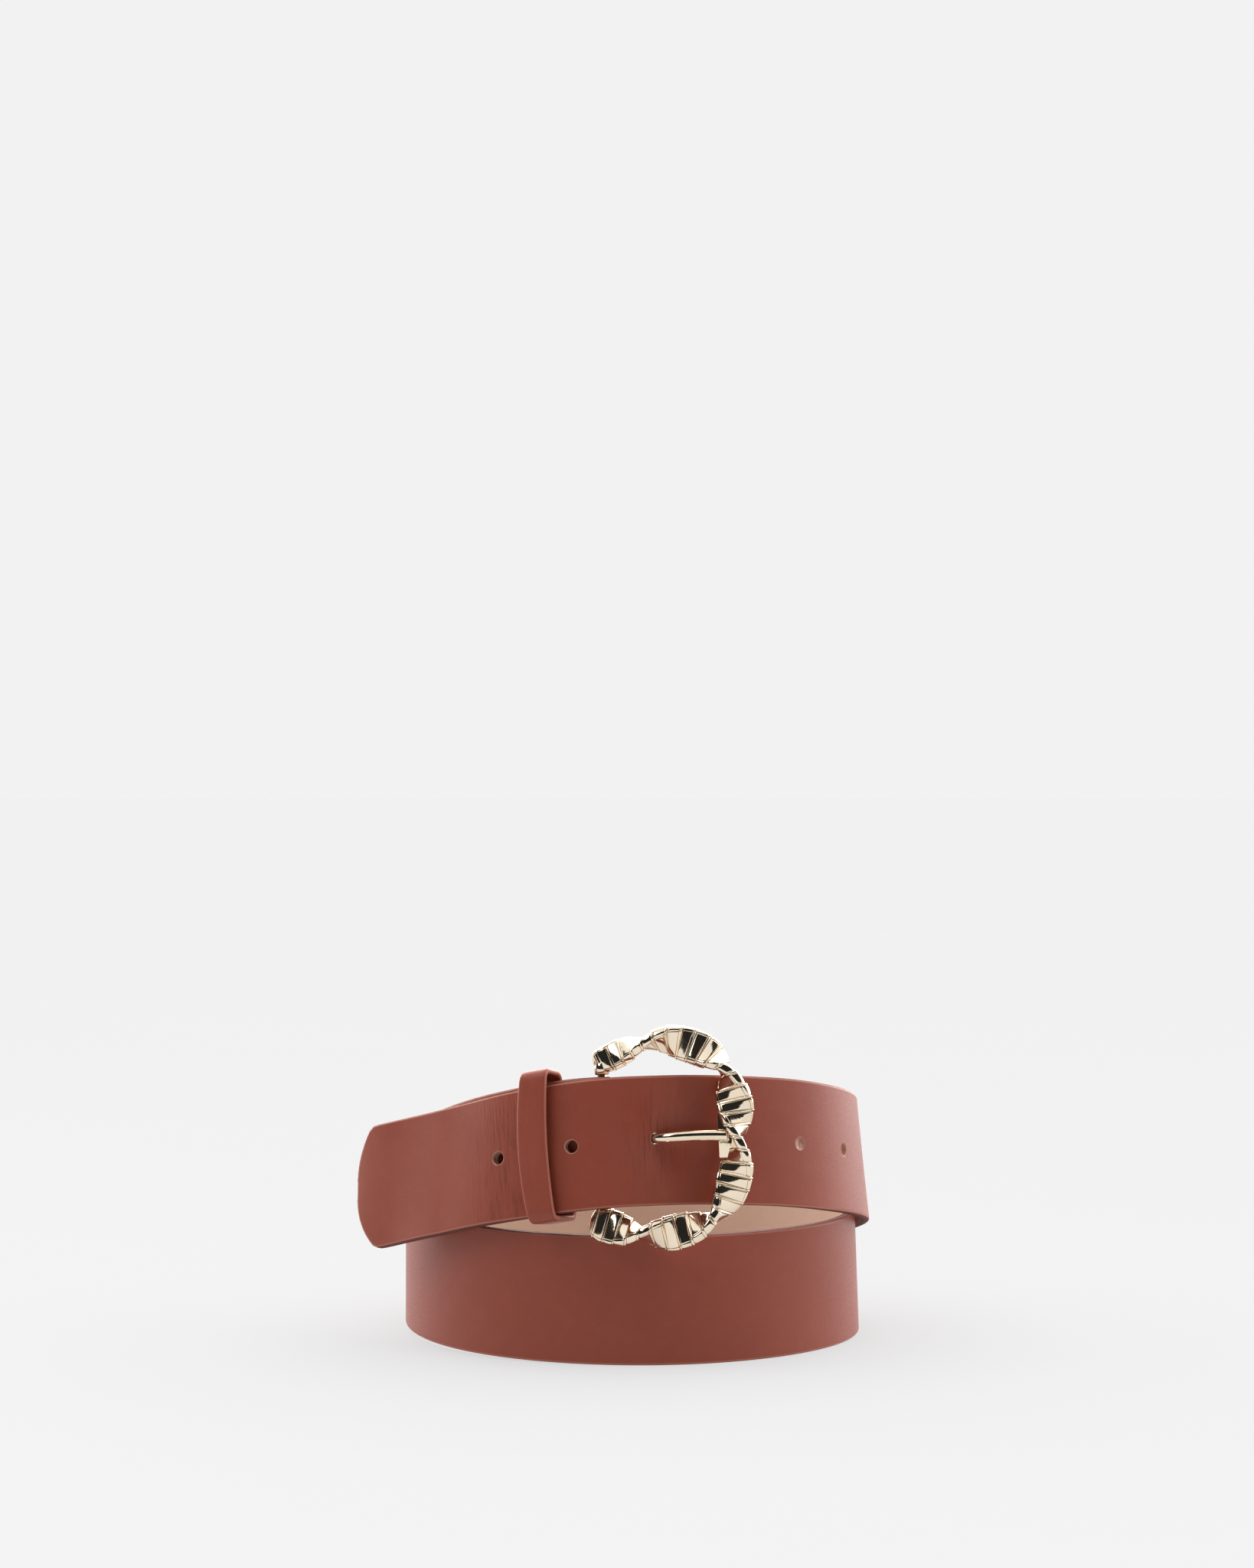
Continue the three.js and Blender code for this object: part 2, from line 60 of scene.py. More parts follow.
# The coil from the buckle bar to the tip: degrees round the centre, radius, height of the
# centreline, lean of the top edge towards the centre in degrees
COIL = [
    [0, 71.8, 69.6, 4],
    [12, 71.6, 68.7, 7],
    [30, 70.8, 64.8, 8],
    [45, 68.8, 60.4, 3],
    [60, 68.8, 55.0, 0],
    [90, 69.2, 40.5, 0],
    [120, 69.2, 26.5, -1],
    [150, 69.0, 21.0, -2],
    [165, 69.3, 20.2, -1],
    [180, 69.8, 20.2, 0],
    [225, 70.8, 20.2, 1],
    [270, 72.4, 20.2, 2],
    [315, 73.2, 20.2, 1],
    [360, 73.6, 20.2, 0],
    [405, 73.8, 21.0, 0],
    [450, 73.7, 22.8, 0],
    [480, 74.1, 23.8, -1],
    [510, 74.5, 26.0, -1],
    [540, 74.8, 30.6, 2],
    [585, 74.6, 41.5, 5],
    [630, 74.5, 55.2, 6],
    [660, 74.8, 63.2, 6],
    [684, 75.2, 68.0, 5],
    [696, 74.9, 69.3, 4],
    [706, 74.6, 69.9, 4],
    [716, 75.7, 69.9, 4],
    [724, 76.3, 69.5, 5],
    [734, 76.2, 67.9, 8],
    [744, 75.8, 65.5, 10],
    [752, 76.0, 63.3, 12],
    [771, 77.5, 57.2, 14],
    [784, 83.2, 52.6, 13],
    [794, 92.0, 48.3, 12],
]
BAR_ANGLE = 7.4

# Outline of the tip: distance from its end, half width
TIP = [[0, 3], [0.25, 6], [0.8, 8.8], [1.8, 11.6], [3.1, 14.2], [4.7, 16.7], [6.2, 18.6]]
TIP += [[7.4, 19.65], [8.8, 20]]

HOLE_RADIUS = 2.0
HOLE_PITCH = 25.4
HOLES_TO_TIP = 2
HOLES_SPARE = 3
HOLE_IN_USE_AT = 16.1  # the hole the prong is in, from the bar
HOLE_SHIFT = 0.4  # how far the prong has pulled it towards the spare holes
HOLE_STRETCH = (1.45, 1.72)  # its half length and half height
HOLE_HEIGHT = 0.62

# The leather round the prong is raised to the left of the hole, pressed in to the right, and
# creased. A reach is the distance over which each fades.
RAISED, RAISED_REACH = 1.0, 8.0
PRESSED, PRESSED_REACH = 1.5, 11.0
BEND_REACH = 8.5  # up and down
FOLD_WIDTH = 2.0  # between raised and pressed
FOLD_SLANT = 0.3
CREASE, CREASE_PITCH, CREASE_SLANT = 0.07, 1.9, 0.25
CREASES_ALONG = (1.5, 4.5)  # middle and reach, to the right of the hole
CREASES_UP = (6.0, 4.5)  # the same, above and below it
STRAIN_REACH = (8.0, 13.0)  # of the fine lines in the finish and their painted crease shade, along and up
KEEPER_STRAIN = 0.75
KEEPER_STRAIN_AT = (13.0, 12.0)  # middle and reach, left of the keeper

BAR_RADIUS = 1.5
BAR_HALF_LENGTH = 23.0
BAR_OFFSET = -1.4  # of the bar's axis from the strap's mid thickness
TURN_RADIUS = 2.35  # of the leather's mid thickness round the bar
FOLD_BACK = 46.0
FOLD_CLOSED = 7.0
FILLER_START = 14.0
FILLER_THINS = (2.0, 3.0)  # how far before that the board begins, and over what length
FILLER_HALF = 0.38  # half of the thickness that the board adds to the outer leather's mesh
FOLD_SLOT_HALF = 2.8
FOLD_SLOT_END = 7.1
LINING_START = FOLD_BACK + 0.4
BUCKLE_TILT = 3.2

# Centreline of the twisted frame, from the top end of the bar clockwise to the bottom end:
# distance from the bar, height, distance in front of the bar, twist, half width, half thickness
FRAME = [
    [-2.3, 24.1, 0.3, 0, 1.2, 0.9],
    [-1.6, 24.3, 0.3, 0, 2.8, 1.5],
    [0.3, 25.0, 0.3, 0, 3.8, 1.9],
    [3.0, 25.9, 0.4, 8, 4.2, 1.9],
    [6.6, 27.4, 0.6, 30, 4.5, 1.9],
    [14.6, 29.7, 0.6, 90, 5.0, 1.9],
    [21, 30.4, 0.4, 135, 5.2, 1.9],
    [27.2, 28.9, 0.2, 180, 5.4, 1.9],
    [33.6, 25.9, 0, 214, 5.4, 1.9],
    [38.4, 21.4, 0, 270, 5.2, 1.9],
    [41.4, 11.0, 0, 360, 5.8, 1.9],
    [42, 0.5, 0, 450, 5.6, 1.9],
    [40.5, -12.4, 0, 540, 5.7, 1.9],
    [34.4, -24.3, 0.6, 630, 5.2, 1.9],
    [22.8, -28.6, 3.4, 720, 5.6, 1.9],
    [11.2, -28.8, 4.8, 810, 5.1, 1.9],
    [6.2, -27.9, 4.0, 860, 5.2, 1.9],
    [1.6, -26.4, 2.8, 892, 5.4, 1.9],
    [-2.2, -25.2, 2.0, 900, 4.9, 1.9],
    [-4.4, -24.5, 1.6, 900, 3.3, 1.5],
    [-5.1, -24.3, 1.5, 900, 1.2, 0.9],
]
RIB_PITCH = 3.8  # between the double lines across the frame
REST = [[35.9, -6.5, -1.4], [40.6, 7.0, -0.2]]  # corners of the bridge the prong lies on
REST_BEVEL = 0.35
POST_RADIUS = 2.3  # of the round ends that hold the bar
POST_FROM = 20.7
POST_TO = 25.0
POST_BEVELS = (0.3, 0.8)  # of its inner and its outer end
BAR_BEVEL = 0.3

# Prong: distance from the bar, height, distance in front of the buckle's plane, radius
PRONG = [
    [2.2, 0, 0, 1.5],
    [8, 0.1, -0.2, 1.5],
    [12.8, 0.2, -0.3, 1.5],
    [15, 0.3, 0.8, 1.5],
    [17.2, 0.3, 3.0, 1.55],
    [19.8, 0.4, 4.3, 1.6],
    [26, 0.6, 4.2, 1.7],
    [32, 0.6, 3.2, 1.8],
    [39.3, 0.3, 2.0, 1.85],
]
PRONG_END = [[0.5, 0.0], [0.25, 0.06], [0.1, 0.2], [0.0, 0.45]]  # from its end, off its radius
PRONG_RINGS = 60
PRONG_NUDGE = 0.1  # along the prong, to find its direction
COLLAR_RADIUS = 2.8
COLLAR_HALF = 2.4
COLLAR_PLAY = 0.15  # round the bar
COLLAR_RIM = [[0.0, 0.4], [0.15, 0.1], [0.45, 0.0]]  # from its side, off its radius

KEEPER_AT = 17.4
KEEPER_HALF_LENGTH = 4.55
KEEPER_BOW = 2.0  # how far its front bows towards the tip
KEEPER_LEAN = 0.05  # how far its front leans towards the bar at the top, per mm of height
KEEPER_WALL = 2.1
KEEPER_INNER = -2.8
KEEPER_OUTER = 7.9
KEEPER_HALF_HEIGHT = 21.7
KEEPER_CORNER = 1.2
KEEPER_SEAM = 0.4
KEEPER_SLACK = 0.1  # by which each face of its leather lies inside the CAD wall
KEEPER_WIDENS = 0.11  # share by which its front is wider half way up
KEEPER_CROWN = 0.12  # how much thinner the leather is at its sides
KEEPER_ROUNDING = 0.8
KEEPER_STEPS = (1.5, 0.9)  # of its mesh, round the loop and across the band
KEEPER_EDGE = 0.35  # added to the distance from its edge, which has no paint, so the painted highlight line falls on its very edges
KEEPER_FLEX = 0.12  # its share of fine lines, with their painted crease shade
STAPLE_HALF = 3.2
STAPLE_WIRE = 0.36
STAPLE_BEND = 0.7
STAPLE_LEG = 1.4

RIVETS = [[9.9, 11], [9.9, -11], [38, 11], [38, -11]]
RIVET_HEAD = 2.2
RIVET_HEIGHT = 1.1
RIVET_FOOT = [[0.0, 0.1], [0.12, 0.0]]  # of the cap: height, and off its radius
RIVET_SKIRT = 0.15  # of the cap, below its dome
RIVET_SUNK = 0.02  # into the leather
# Burr behind a rivet: height off the leather, radius
RIVET_BURR = [[0.0, 0.8], [0.0, 2.75], [0.15, 2.9], [0.45, 2.75], [0.75, 2.2], [0.9, 1.6]]
RIVET_BURR += [[0.95, 1.25], [0.75, 1.0], [0.5, 0.85]]

AXIS_GAP = 0.02  # radius left open on the axis of a turned shape
ROD_SIDES = 28
WIRE_SIDES = 12


# ---------------------------------------------------------------- curves


def smooth(table, x):
    """Values of a table of rows [x, a, b, ...] at x: a cubic with continuous slope."""
    table = np.asarray(table, float)
    x = np.asarray(x, float)
    knots, values = table[:, 0], table[:, 1:]
    spans = np.diff(knots)
    chords = np.diff(values, axis=0) / spans[:, None]
    before, after = spans[:-1, None], spans[1:, None]
    inner = (chords[:-1] * after + chords[1:] * before) / (before + after)
    slopes = np.vstack([chords[:1], inner, chords[-1:]])
    i = np.clip(np.searchsorted(knots, x, side="right") - 1, 0, len(knots) - 2)
    span = spans[i][..., None]
    t = ((x - knots[i]) / spans[i])[..., None]
    return (
        (2 * t**3 - 3 * t**2 + 1) * values[i]
        + (t**3 - 2 * t**2 + t) * span * slopes[i]
        + (3 * t**2 - 2 * t**3) * values[i + 1]
        + (t**3 - t**2) * span * slopes[i + 1]
    )


def unit(v):
    """The vectors at length 1."""
    return v / np.linalg.norm(v, axis=-1, keepdims=True)


def ease(x):
    """Smooth step from 0 to 1."""
    x = np.clip(x, 0, 1)
    return x * x * (3 - 2 * x)


def hump(x, middle, reach):
    """A bell curve, 1 at its middle."""
    return np.exp(-(((x - middle) / reach) ** 2))


def with_distance(rows):
    """The rows with the distance along their first two columns put in front."""
    rows = np.asarray(rows, float)
    steps = np.linalg.norm(np.diff(rows[:, :2], axis=0), axis=1)
    return np.column_stack([np.concatenate([[0], np.cumsum(steps)]), rows])


# ---------------------------------------------------------------- the strap's own space


def centre(angle):
    """Centreline of the strap at an angle of the coil."""
    radius, height = np.moveaxis(smooth(COIL, angle)[..., :2], -1, 0)
    turn = np.radians(angle)
    return np.stack([-radius * np.sin(turn), -radius * np.cos(turn), height], -1)


TABLE_ANGLES = np.arange(0, COIL[-1][0] + 0.25, 0.5)
TABLE_STEPS = np.linalg.norm(np.diff(centre(TABLE_ANGLES), axis=0), axis=1)
TABLE_LENGTHS = np.concatenate([[0], np.cumsum(TABLE_STEPS)])
BAR_AT = float(np.interp(BAR_ANGLE, TABLE_ANGLES, TABLE_LENGTHS))
TIP_AT = float(TABLE_LENGTHS[-1])
OVER_BAR = float(np.interp(720 + BAR_ANGLE, TABLE_ANGLES, TABLE_LENGTHS))
HOLE_IN_USE = OVER_BAR - HOLE_IN_USE_AT
TURN_LENGTH = math.pi * TURN_RADIUS
FOLD_END = BAR_AT - TURN_LENGTH - FOLD_BACK  # where the leather's path starts


def strap_axes(length):
    """Middle, direction along, direction across and normal of the strap at lengths."""
    angle = np.interp(length, TABLE_LENGTHS, TABLE_ANGLES)
    lean = np.radians(smooth(COIL, angle)[..., 2])[..., None]
    along = unit(centre(angle + 0.5) - centre(angle - 0.5))
    level = np.stack([along[..., 1], -along[..., 0], 0 * along[..., 0]], -1)
    outward = -unit(level)
    upward = np.cross(along, outward)
    across = upward * np.cos(lean) - outward * np.sin(lean)
    normal = outward * np.cos(lean) + upward * np.sin(lean)
    return centre(angle), along, across, normal


def strap_point(length, offset, height):
    middle, _, across, normal = strap_axes(np.asarray(length, float))
    offset = np.asarray(offset, float)[..., None]
    height = np.asarray(height, float)[..., None]
    return middle + normal * offset + across * height


def strap_place(length, height=0.0):
    """Origin and axes on the strap: out of the face, across, and along."""
    _, _, across, _ = strap_axes(np.array(float(length)))
    along = strap_point(length + 1, 0, height) - strap_point(length - 1, 0, height)
    along = unit(along - across * np.dot(along, across))
    return strap_point(length, 0, height), np.stack([np.cross(across, along), across, along])


def buckle_place():
    """Origin and axes of the buckle: away from the bar, along the bar, and to the front."""
    _, _, across, normal = strap_axes(np.array(BAR_AT))
    tilt = math.radians(BUCKLE_TILT)
    front = normal * math.cos(tilt) - np.cross(across, normal) * math.sin(tilt)
    return strap_point(BAR_AT, BAR_OFFSET, 0), np.stack([np.cross(across, front), across, front])


BUCKLE = buckle_place()


def placed(points, place):
    origin, axes = place
    return origin + np.asarray(points, float) @ axes


bar_low, bar_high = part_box("hinge_bar")
SHIFT = np.array((bar_low + bar_high) / 2) / MM - BUCKLE[0]


# ---------------------------------------------------------------- meshes


def mesh_piece(name, points, faces, body, slot, material, attributes=None, crease=40):
    """A closed mesh in metres in the CAD frame, riding on a body."""
    points = (np.asarray(points, float) + SHIFT) * MM
    mesh = bpy.data.meshes.new(name)
    mesh.from_pydata(points.tolist(), [], faces)
    mesh.validate()
    for key, values in (attributes or {}).items():
        values = np.asarray(values, np.float32)
        kind, field = ("FLOAT_VECTOR", "vector") if values.ndim > 1 else ("FLOAT", "value")
        layer = mesh.attributes.new(key, kind, "POINT")
        layer.data.foreach_set(field, values.ravel())
    mesh.shade_smooth()
    mesh.set_sharp_from_angle(angle=math.radians(crease))
    mesh.materials.append(material)
    piece = bpy.data.objects.new(name, mesh)
    bpy.context.scene.collection.objects.link(piece)
    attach(piece, body)
    return piece


def facing_out(points, faces):
    """The faces, turned over if the closed mesh is inside out."""
    volume = 0.0
    for face in faces:
        a = points[face[0]]
        for b, c in zip(face[1:-1], face[2:]):
            volume += np.dot(a, np.cross(points[b], points[c]))
    return faces if volume > 0 else [tuple(reversed(face)) for face in faces]


def skin(rings, closed=False):
    """Points and faces over rings of points, with end caps unless the rings close on themselves."""
    rings = np.asarray(rings, float)
    count, n = rings.shape[:2]
    faces = []
    for i in range(count if closed else count - 1):
        a, b = i * n, ((i + 1) % count) * n
        faces += [(a + j, a + (j + 1) % n, b + (j + 1) % n, b + j) for j in range(n)]
    if not closed:
        faces.append(tuple(reversed(range(n))))
        faces.append(tuple((count - 1) * n + j for j in range(n)))
    points = rings.reshape(-1, 3)
    return points, facing_out(points - points.mean(0), faces)


def joined(parts):
    """Several (points, faces) as one."""
    points, faces, start = [], [], 0
    for part_points, part_faces in parts:
        points.append(part_points)
        faces += [tuple(start + i for i in face) for face in part_faces]
        start += len(part_points)
    return np.vstack(points), faces


def lathe(profile, sides=32):
    """A closed turned shape about x. The profile is (x, radius) and starts and ends the same."""
    turns = np.arange(sides) * 2 * math.pi / sides
    rings = [[[x, r * math.cos(t), r * math.sin(t)] for x, r in profile] for t in turns]
    return skin(rings, closed=True)


# ---------------------------------------------------------------- the strap


RING_SHARES = [0.3, 0.52, 0.68, 0.79, 0.86, 0.91, 0.95, 0.98, 1.0]
HOLE_BLOCK = 4.0  # half side of the square of grid round a hole
BLOCK_MARGIN = 0.3  # kept free of other rows on both sides of the square
BLOCK_LINES = [-4.0, -2.8, -1.9, -0.95, 0.0, 0.95, 1.9, 2.8, 4.0]
EDGE_LINES = [0, 0.05, 0.14, 0.27, 0.42, 0.6, 0.85, 1.2, 1.7, 2.4, 3.4, 4.6, 5.9, 7.2, 8.5, 9.8]
EDGE_LINES += [11.1, 12.4, 13.7, 14.9]
HALF_BELT = BELT_WIDTH / 2
LOWER_LINES = {x - HALF_BELT for x in EDGE_LINES}
COLUMNS = sorted(LOWER_LINES | {-x for x in LOWER_LINES} | set(BLOCK_LINES))
TIP_LINES = [0.05, 0.14, 0.3, 0.5, 0.8, 1.2, 1.8, 2.6, 3.6, 5, 6.6, 8.4, 10.5]
START_LINES = TIP_LINES[:5]
FACE_STEP = 2.2
LINING_STEP = 2.6
FLEX_ROWS = (-26.0, 14.0, 0.9)  # from and to, round the prong's hole, and the step between
ROW_GAP = 0.03  # rows closer than this are one
TIP_CURVE = TIP[-1][0]
NUDGE = 0.05  # along the path, to find its direction
THINNEST = 0.05  # half thickness at a sharp edge
NO_EDGE = 50.0  # distance that stands for no edge near


def holes_in_strap():
    """(length, height, half length, half height) of each hole."""
    holes = []
    for k in range(-HOLES_SPARE, HOLES_TO_TIP + 1):
        at = HOLE_IN_USE + k * HOLE_PITCH
        if k == 0:
            holes.append((at - HOLE_SHIFT, HOLE_HEIGHT, *HOLE_STRETCH))
        else:
            holes.append((at, 0.0, HOLE_RADIUS, HOLE_RADIUS))
    return holes


HOLES = holes_in_strap()


def half_width(path):
    """Half width of the strap, which narrows at the tip."""
    distance = TIP_AT - np.asarray(path, float)
    tip = smooth(TIP, np.clip(distance, 0, TIP_CURVE))[..., 0]
    return np.where(distance >= TIP_CURVE, HALF_BELT, tip)


def rows_between(start, end, step, extra=()):
    """Path positions from start to end, with a block of lines round each hole."""
    rows = set(np.arange(start, end, step).tolist()) | {start, end} | set(extra)
    flex_from, flex_to, flex_step = FLEX_ROWS
    rows |= set(np.arange(HOLE_IN_USE + flex_from, HOLE_IN_USE + flex_to, flex_step).tolist())
    rows |= {end - x for x in TIP_LINES}
    for at, _, _, _ in HOLES:
        rows = {r for r in rows if abs(r - at) > HOLE_BLOCK + BLOCK_MARGIN}
        rows |= {at + line for line in BLOCK_LINES}
    ordered = sorted(rows)
    kept = [ordered[0]]
    for row in ordered[1:]:
        if row - kept[-1] > ROW_GAP:
            kept.append(row)
    return np.array(kept)


def punched_grid(rows, gap=None):
    """Flat points (path, height at full width) and faces, with the holes and the gap left open."""
    width = len(COLUMNS)
    points = [(r, c) for r in rows for c in COLUMNS]
    faces, skipped = [], set()
    left, right = COLUMNS.index(-HOLE_BLOCK), COLUMNS.index(HOLE_BLOCK)

    def index(i, j):
        return int(i * width + j)

    for at, height, half_length, half_height in HOLES:
        low = int(np.argmin(abs(rows - (at - HOLE_BLOCK))))
        high = int(np.argmin(abs(rows - (at + HOLE_BLOCK))))
        skipped |= {(i, j) for i in range(low, high) for j in range(left, right)}
        around = [(low, j) for j in range(left, right)] + [(i, right) for i in range(low, high)]
        around += [(high, j) for j in range(right, left, -1)]
        around += [(i, left) for i in range(high, low, -1)]
        corners = np.array([(rows[i], COLUMNS[j]) for i, j in around])
        size = np.array([half_length, half_height])
        middle = np.array([at, height])
        rim = middle + unit((corners - middle) / size) * size
        ring = [index(i, j) for i, j in around]
        for share in RING_SHARES:
            start = len(points)
            points += [tuple(p) for p in corners + (rim - corners) * share]
            inner = list(range(start, start + len(ring)))
            for k in range(len(ring)):
                n = (k + 1) % len(ring)
                faces.append((ring[k], ring[n], inner[n], inner[k]))
            ring = inner
    for i in range(len(rows) - 1):
        for j in range(width - 1):
            middle_row = (rows[i] + rows[i + 1]) / 2
            middle_column = (COLUMNS[j] + COLUMNS[j + 1]) / 2
            in_gap = gap and gap[0] < middle_row < gap[1] and abs(middle_column) < FOLD_SLOT_HALF
            if (i, j) not in skipped and not in_gap:
                faces.append((index(i, j), index(i, j + 1), index(i + 1, j + 1), index(i + 1, j)))
    used = sorted({i for face in faces for i in face})
    renumbered = {old: new for new, old in enumerate(used)}
    faces = [oriented([renumbered[i] for i in face], points, used) for face in faces]
    return np.array([points[i] for i in used]), faces


def oriented(face, points, used):
    """The face turned so that all faces of the flat grid go round the same way."""
    flat = [points[used[i]] for i in face]
    area = sum(a[0] * b[1] - a[1] * b[0] for a, b in zip(flat, flat[1:] + flat[:1]))
    return tuple(face) if area > 0 else tuple(reversed(face))


def bend(path, height):
    """How far the strap is raised or pressed in round the prong."""
    x = HOLE_IN_USE - HOLE_SHIFT - path
    y = height - HOLE_HEIGHT
    x = x + FOLD_SLANT * np.minimum(y, 0)  # below the prong the fold runs away from the bar
    side = (1 + np.tanh(x / FOLD_WIDTH)) / 2
    raised = RAISED * (1 - side) * hump(np.minimum(x, 0), 0, RAISED_REACH)
    pressed = PRESSED * side * hump(np.maximum(x, 0), 0, PRESSED_REACH)
    wave = np.cos(2 * math.pi * x / CREASE_PITCH + CREASE_SLANT * y)
    creases = CREASE * wave * hump(x, *CREASES_ALONG) * hump(abs(y), *CREASES_UP)
    return (raised - pressed) * hump(y, 0, BEND_REACH) + creases


def leather_path(path):
    """Length and offset of the leather's mid thickness, and its half thickness."""
    path = np.asarray(path, float)
    turn = np.clip((BAR_AT - path) / TURN_RADIUS, 0, math.pi)
    back = np.maximum(BAR_AT - TURN_LENGTH - path, 0)
    before, ramp = FILLER_THINS
    filled = ease((path - BAR_AT - FILLER_START + before) / ramp)
    top = SURFACE - LEATHER / 2 - FILLER_HALF * filled
    bottom = BAR_OFFSET - TURN_RADIUS
    returned = bottom + (LEATHER / 2 - SURFACE - bottom) * ease(back / FOLD_CLOSED)
    length = np.where(path > BAR_AT, path, BAR_AT - TURN_RADIUS * np.sin(turn) + back)
    offset = np.where(path > BAR_AT, top, BAR_OFFSET + TURN_RADIUS * np.cos(turn))
    offset = np.where(back > 0, returned, offset)
    return length, offset, LEATHER / 2 + FILLER_HALF * filled


def lining_path(path):
    """The same for the lining, which keeps to the back of the strap."""
    path = np.asarray(path, float)
    return path, 0 * path - (SURFACE - LEATHER / 2), 0 * path + LEATHER / 2


def edge_distances(flat, start, gap):
    """Real height of each flat point, and its distance to the outer edge and the nearest hole."""
    path, height = flat.T
    real = height * half_width(path) / HALF_BELT
    outer = half_width(path) - abs(real)
    near_tip = TIP_AT - path < TIP_CURVE + 3
    steps = np.linspace(0, TIP_CURVE + 4, 400)
    outline = np.column_stack([TIP_AT - steps, half_width(TIP_AT - steps)])
    cap = np.column_stack([np.full(20, TIP_AT), np.linspace(0, TIP[0][1], 20)])
    outline = np.vstack([cap, outline])
    tip_points = np.column_stack([path, abs(real)])[near_tip]
    gaps = np.linalg.norm(tip_points[:, None] - outline[None], axis=2).min(1)
    outer[near_tip] = np.minimum(outer[near_tip], gaps)
    outer = np.minimum(outer, path - start)
    hole = np.full(len(path), NO_EDGE)
    for at, middle, half_length, half_height in HOLES:
        away = np.hypot((path - at) / half_length, (height - middle) / half_height) - 1
        hole = np.minimum(hole, away * min(half_length, half_height))
    if gap:
        beside = np.maximum(abs(height) - FOLD_SLOT_HALF, 0)
        beyond = np.maximum(np.maximum(gap[0] - path, path - gap[1]), 0)
        hole = np.minimum(hole, np.hypot(beside, beyond))
    return real, np.clip(outer, 0, None), np.clip(hole, 0, None)


def rounded_off(distance, radius):
    """How much lower a surface lies near an edge of that radius."""
    inside = np.clip(radius - distance, 0, radius)
    return radius - np.sqrt(radius**2 - inside**2)


def strain(path, height):
    """How much the leather is flexed, by the prong and left of the keeper, from 0 to 1."""
    along, up = STRAIN_REACH
    at_prong = hump(HOLE_IN_USE - HOLE_SHIFT - path, 0, along) * hump(height, HOLE_HEIGHT, up)
    middle, reach = KEEPER_STRAIN_AT
    at_keeper = hump(path, OVER_BAR + KEEPER_AT + middle, reach)
    return np.maximum(at_prong, KEEPER_STRAIN * at_keeper)


def strap_sheet(name, start, step, shape, roundings, gap=None, extra=(), **piece):
    """One layer of the strap: a punched sheet following shape(path). The roundings are the radii
    of the outer edge and of the holes, for the front and for the back."""
    rows = rows_between(start, TIP_AT, step, extra)
    flat, faces = punched_grid(rows, gap)
    real, outer, hole = edge_distances(flat, start, gap)
    path = flat[:, 0]
    length, offset, half = shape(path)
    after, before = shape(path + NUDGE), shape(path - NUDGE)
    run, rise = after[0] - before[0], after[1] - before[1]
    size = np.hypot(run, rise)
    run, rise = run / size, rise / size
    lift = bend(path, real)
    sheets, levels = [], []
    for side, (edge_radius, hole_radius) in zip((1, -1), roundings):
        drop = rounded_off(outer, edge_radius) + rounded_off(hole, hole_radius)
        level = side * np.maximum(half - drop, THINNEST)
        sheets.append(strap_point(length - level * rise, offset + level * run + lift, real))
        levels.append(level)
    count = len(flat)
    points = np.vstack(sheets)
    closed = [tuple(face) for face in faces]
    closed += [tuple(count + i for i in reversed(face)) for face in faces]
    sides = [(a, b) for face in faces for a, b in zip(face, face[1:] + face[:1])]
    shared = set(sides)
    closed += [(b, a, a + count, b + count) for a, b in sides if (b, a) not in shared]
    closed = facing_out(points - points.mean(0), closed)
    attributes = {
        "grain": np.column_stack([np.tile(path, 2), np.tile(real, 2), np.concatenate(levels)]) * MM,
        "edge": np.tile(outer, 2),
        "rim": np.tile(hole, 2),
        "strain": np.tile(strain(path, real), 2),
    }
    return mesh_piece(name, points, closed, "strap", attributes=attributes, **piece)


def make_strap(leather, lining):
    """The outer leather with the board under it, turned back behind the bar, and the lining."""
    gap = (BAR_AT - TURN_LENGTH - FOLD_SLOT_END, BAR_AT + FOLD_SLOT_END)
    turns = [BAR_AT - TURN_LENGTH * k / 12 for k in range(13)]
    face = strap_sheet(
        "strap_leather",
        FOLD_END,
        FACE_STEP,
        leather_path,
        [(0.75, 0.3), (0.1, 0.05)],
        gap=gap,
        extra=turns + list(gap) + [FOLD_END + x for x in START_LINES],
        slot="leather_brown",
        material=leather,
    )
    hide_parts("strap_face", "strap_filler")
    start = BAR_AT + LINING_START
    back = strap_sheet(
        "strap_lining_skin",
        start,
        LINING_STEP,
        lining_path,
        [(0.05, 0.05), (0.5, 0.3)],
        extra=[start + x for x in START_LINES],
        slot="lining_beige",
        material=lining,
    )
    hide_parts("strap_lining")


# ---------------------------------------------------------------- buckle, prong and bar

# A quarter of the ribbon's section: share of the half width, share of the half thickness. The dip
# near the end is the line that sets the edge band off from the ribs.
RIBBON_QUARTER = [
    [0.0, 1.0],
    [0.22, 0.992],
    [0.44, 0.97],
    [0.62, 0.93],
    [0.72, 0.90],
    [0.765, 0.88],
    [0.79, 0.78],
    [0.815, 0.86],
    [0.87, 0.84],
    [0.93, 0.74],
    [0.97, 0.58],
    [0.992, 0.36],
    [1.0, 0.12],
]
# Rings of one rib: distance from the middle of the double line, depth of the cut
RIB_RINGS = [
    [0.0, -0.22],
    [0.16, -0.18],
    [0.30, -0.04],
    [0.42, 0.24],
    [0.54, 0.09],
    [0.70, 0.03],
    [1.0, 0.0],
    [1.4, -0.02],
    [1.9, -0.03],
]
FRAME_NUDGE = 0.2  # along the frame, to find its direction
RIB_FADE = 3.0  # length over which the lines fade out at the frame's ends
STEP_WIDTH = 0.84  # of the double line, where the frame turns from one flat rib to the next
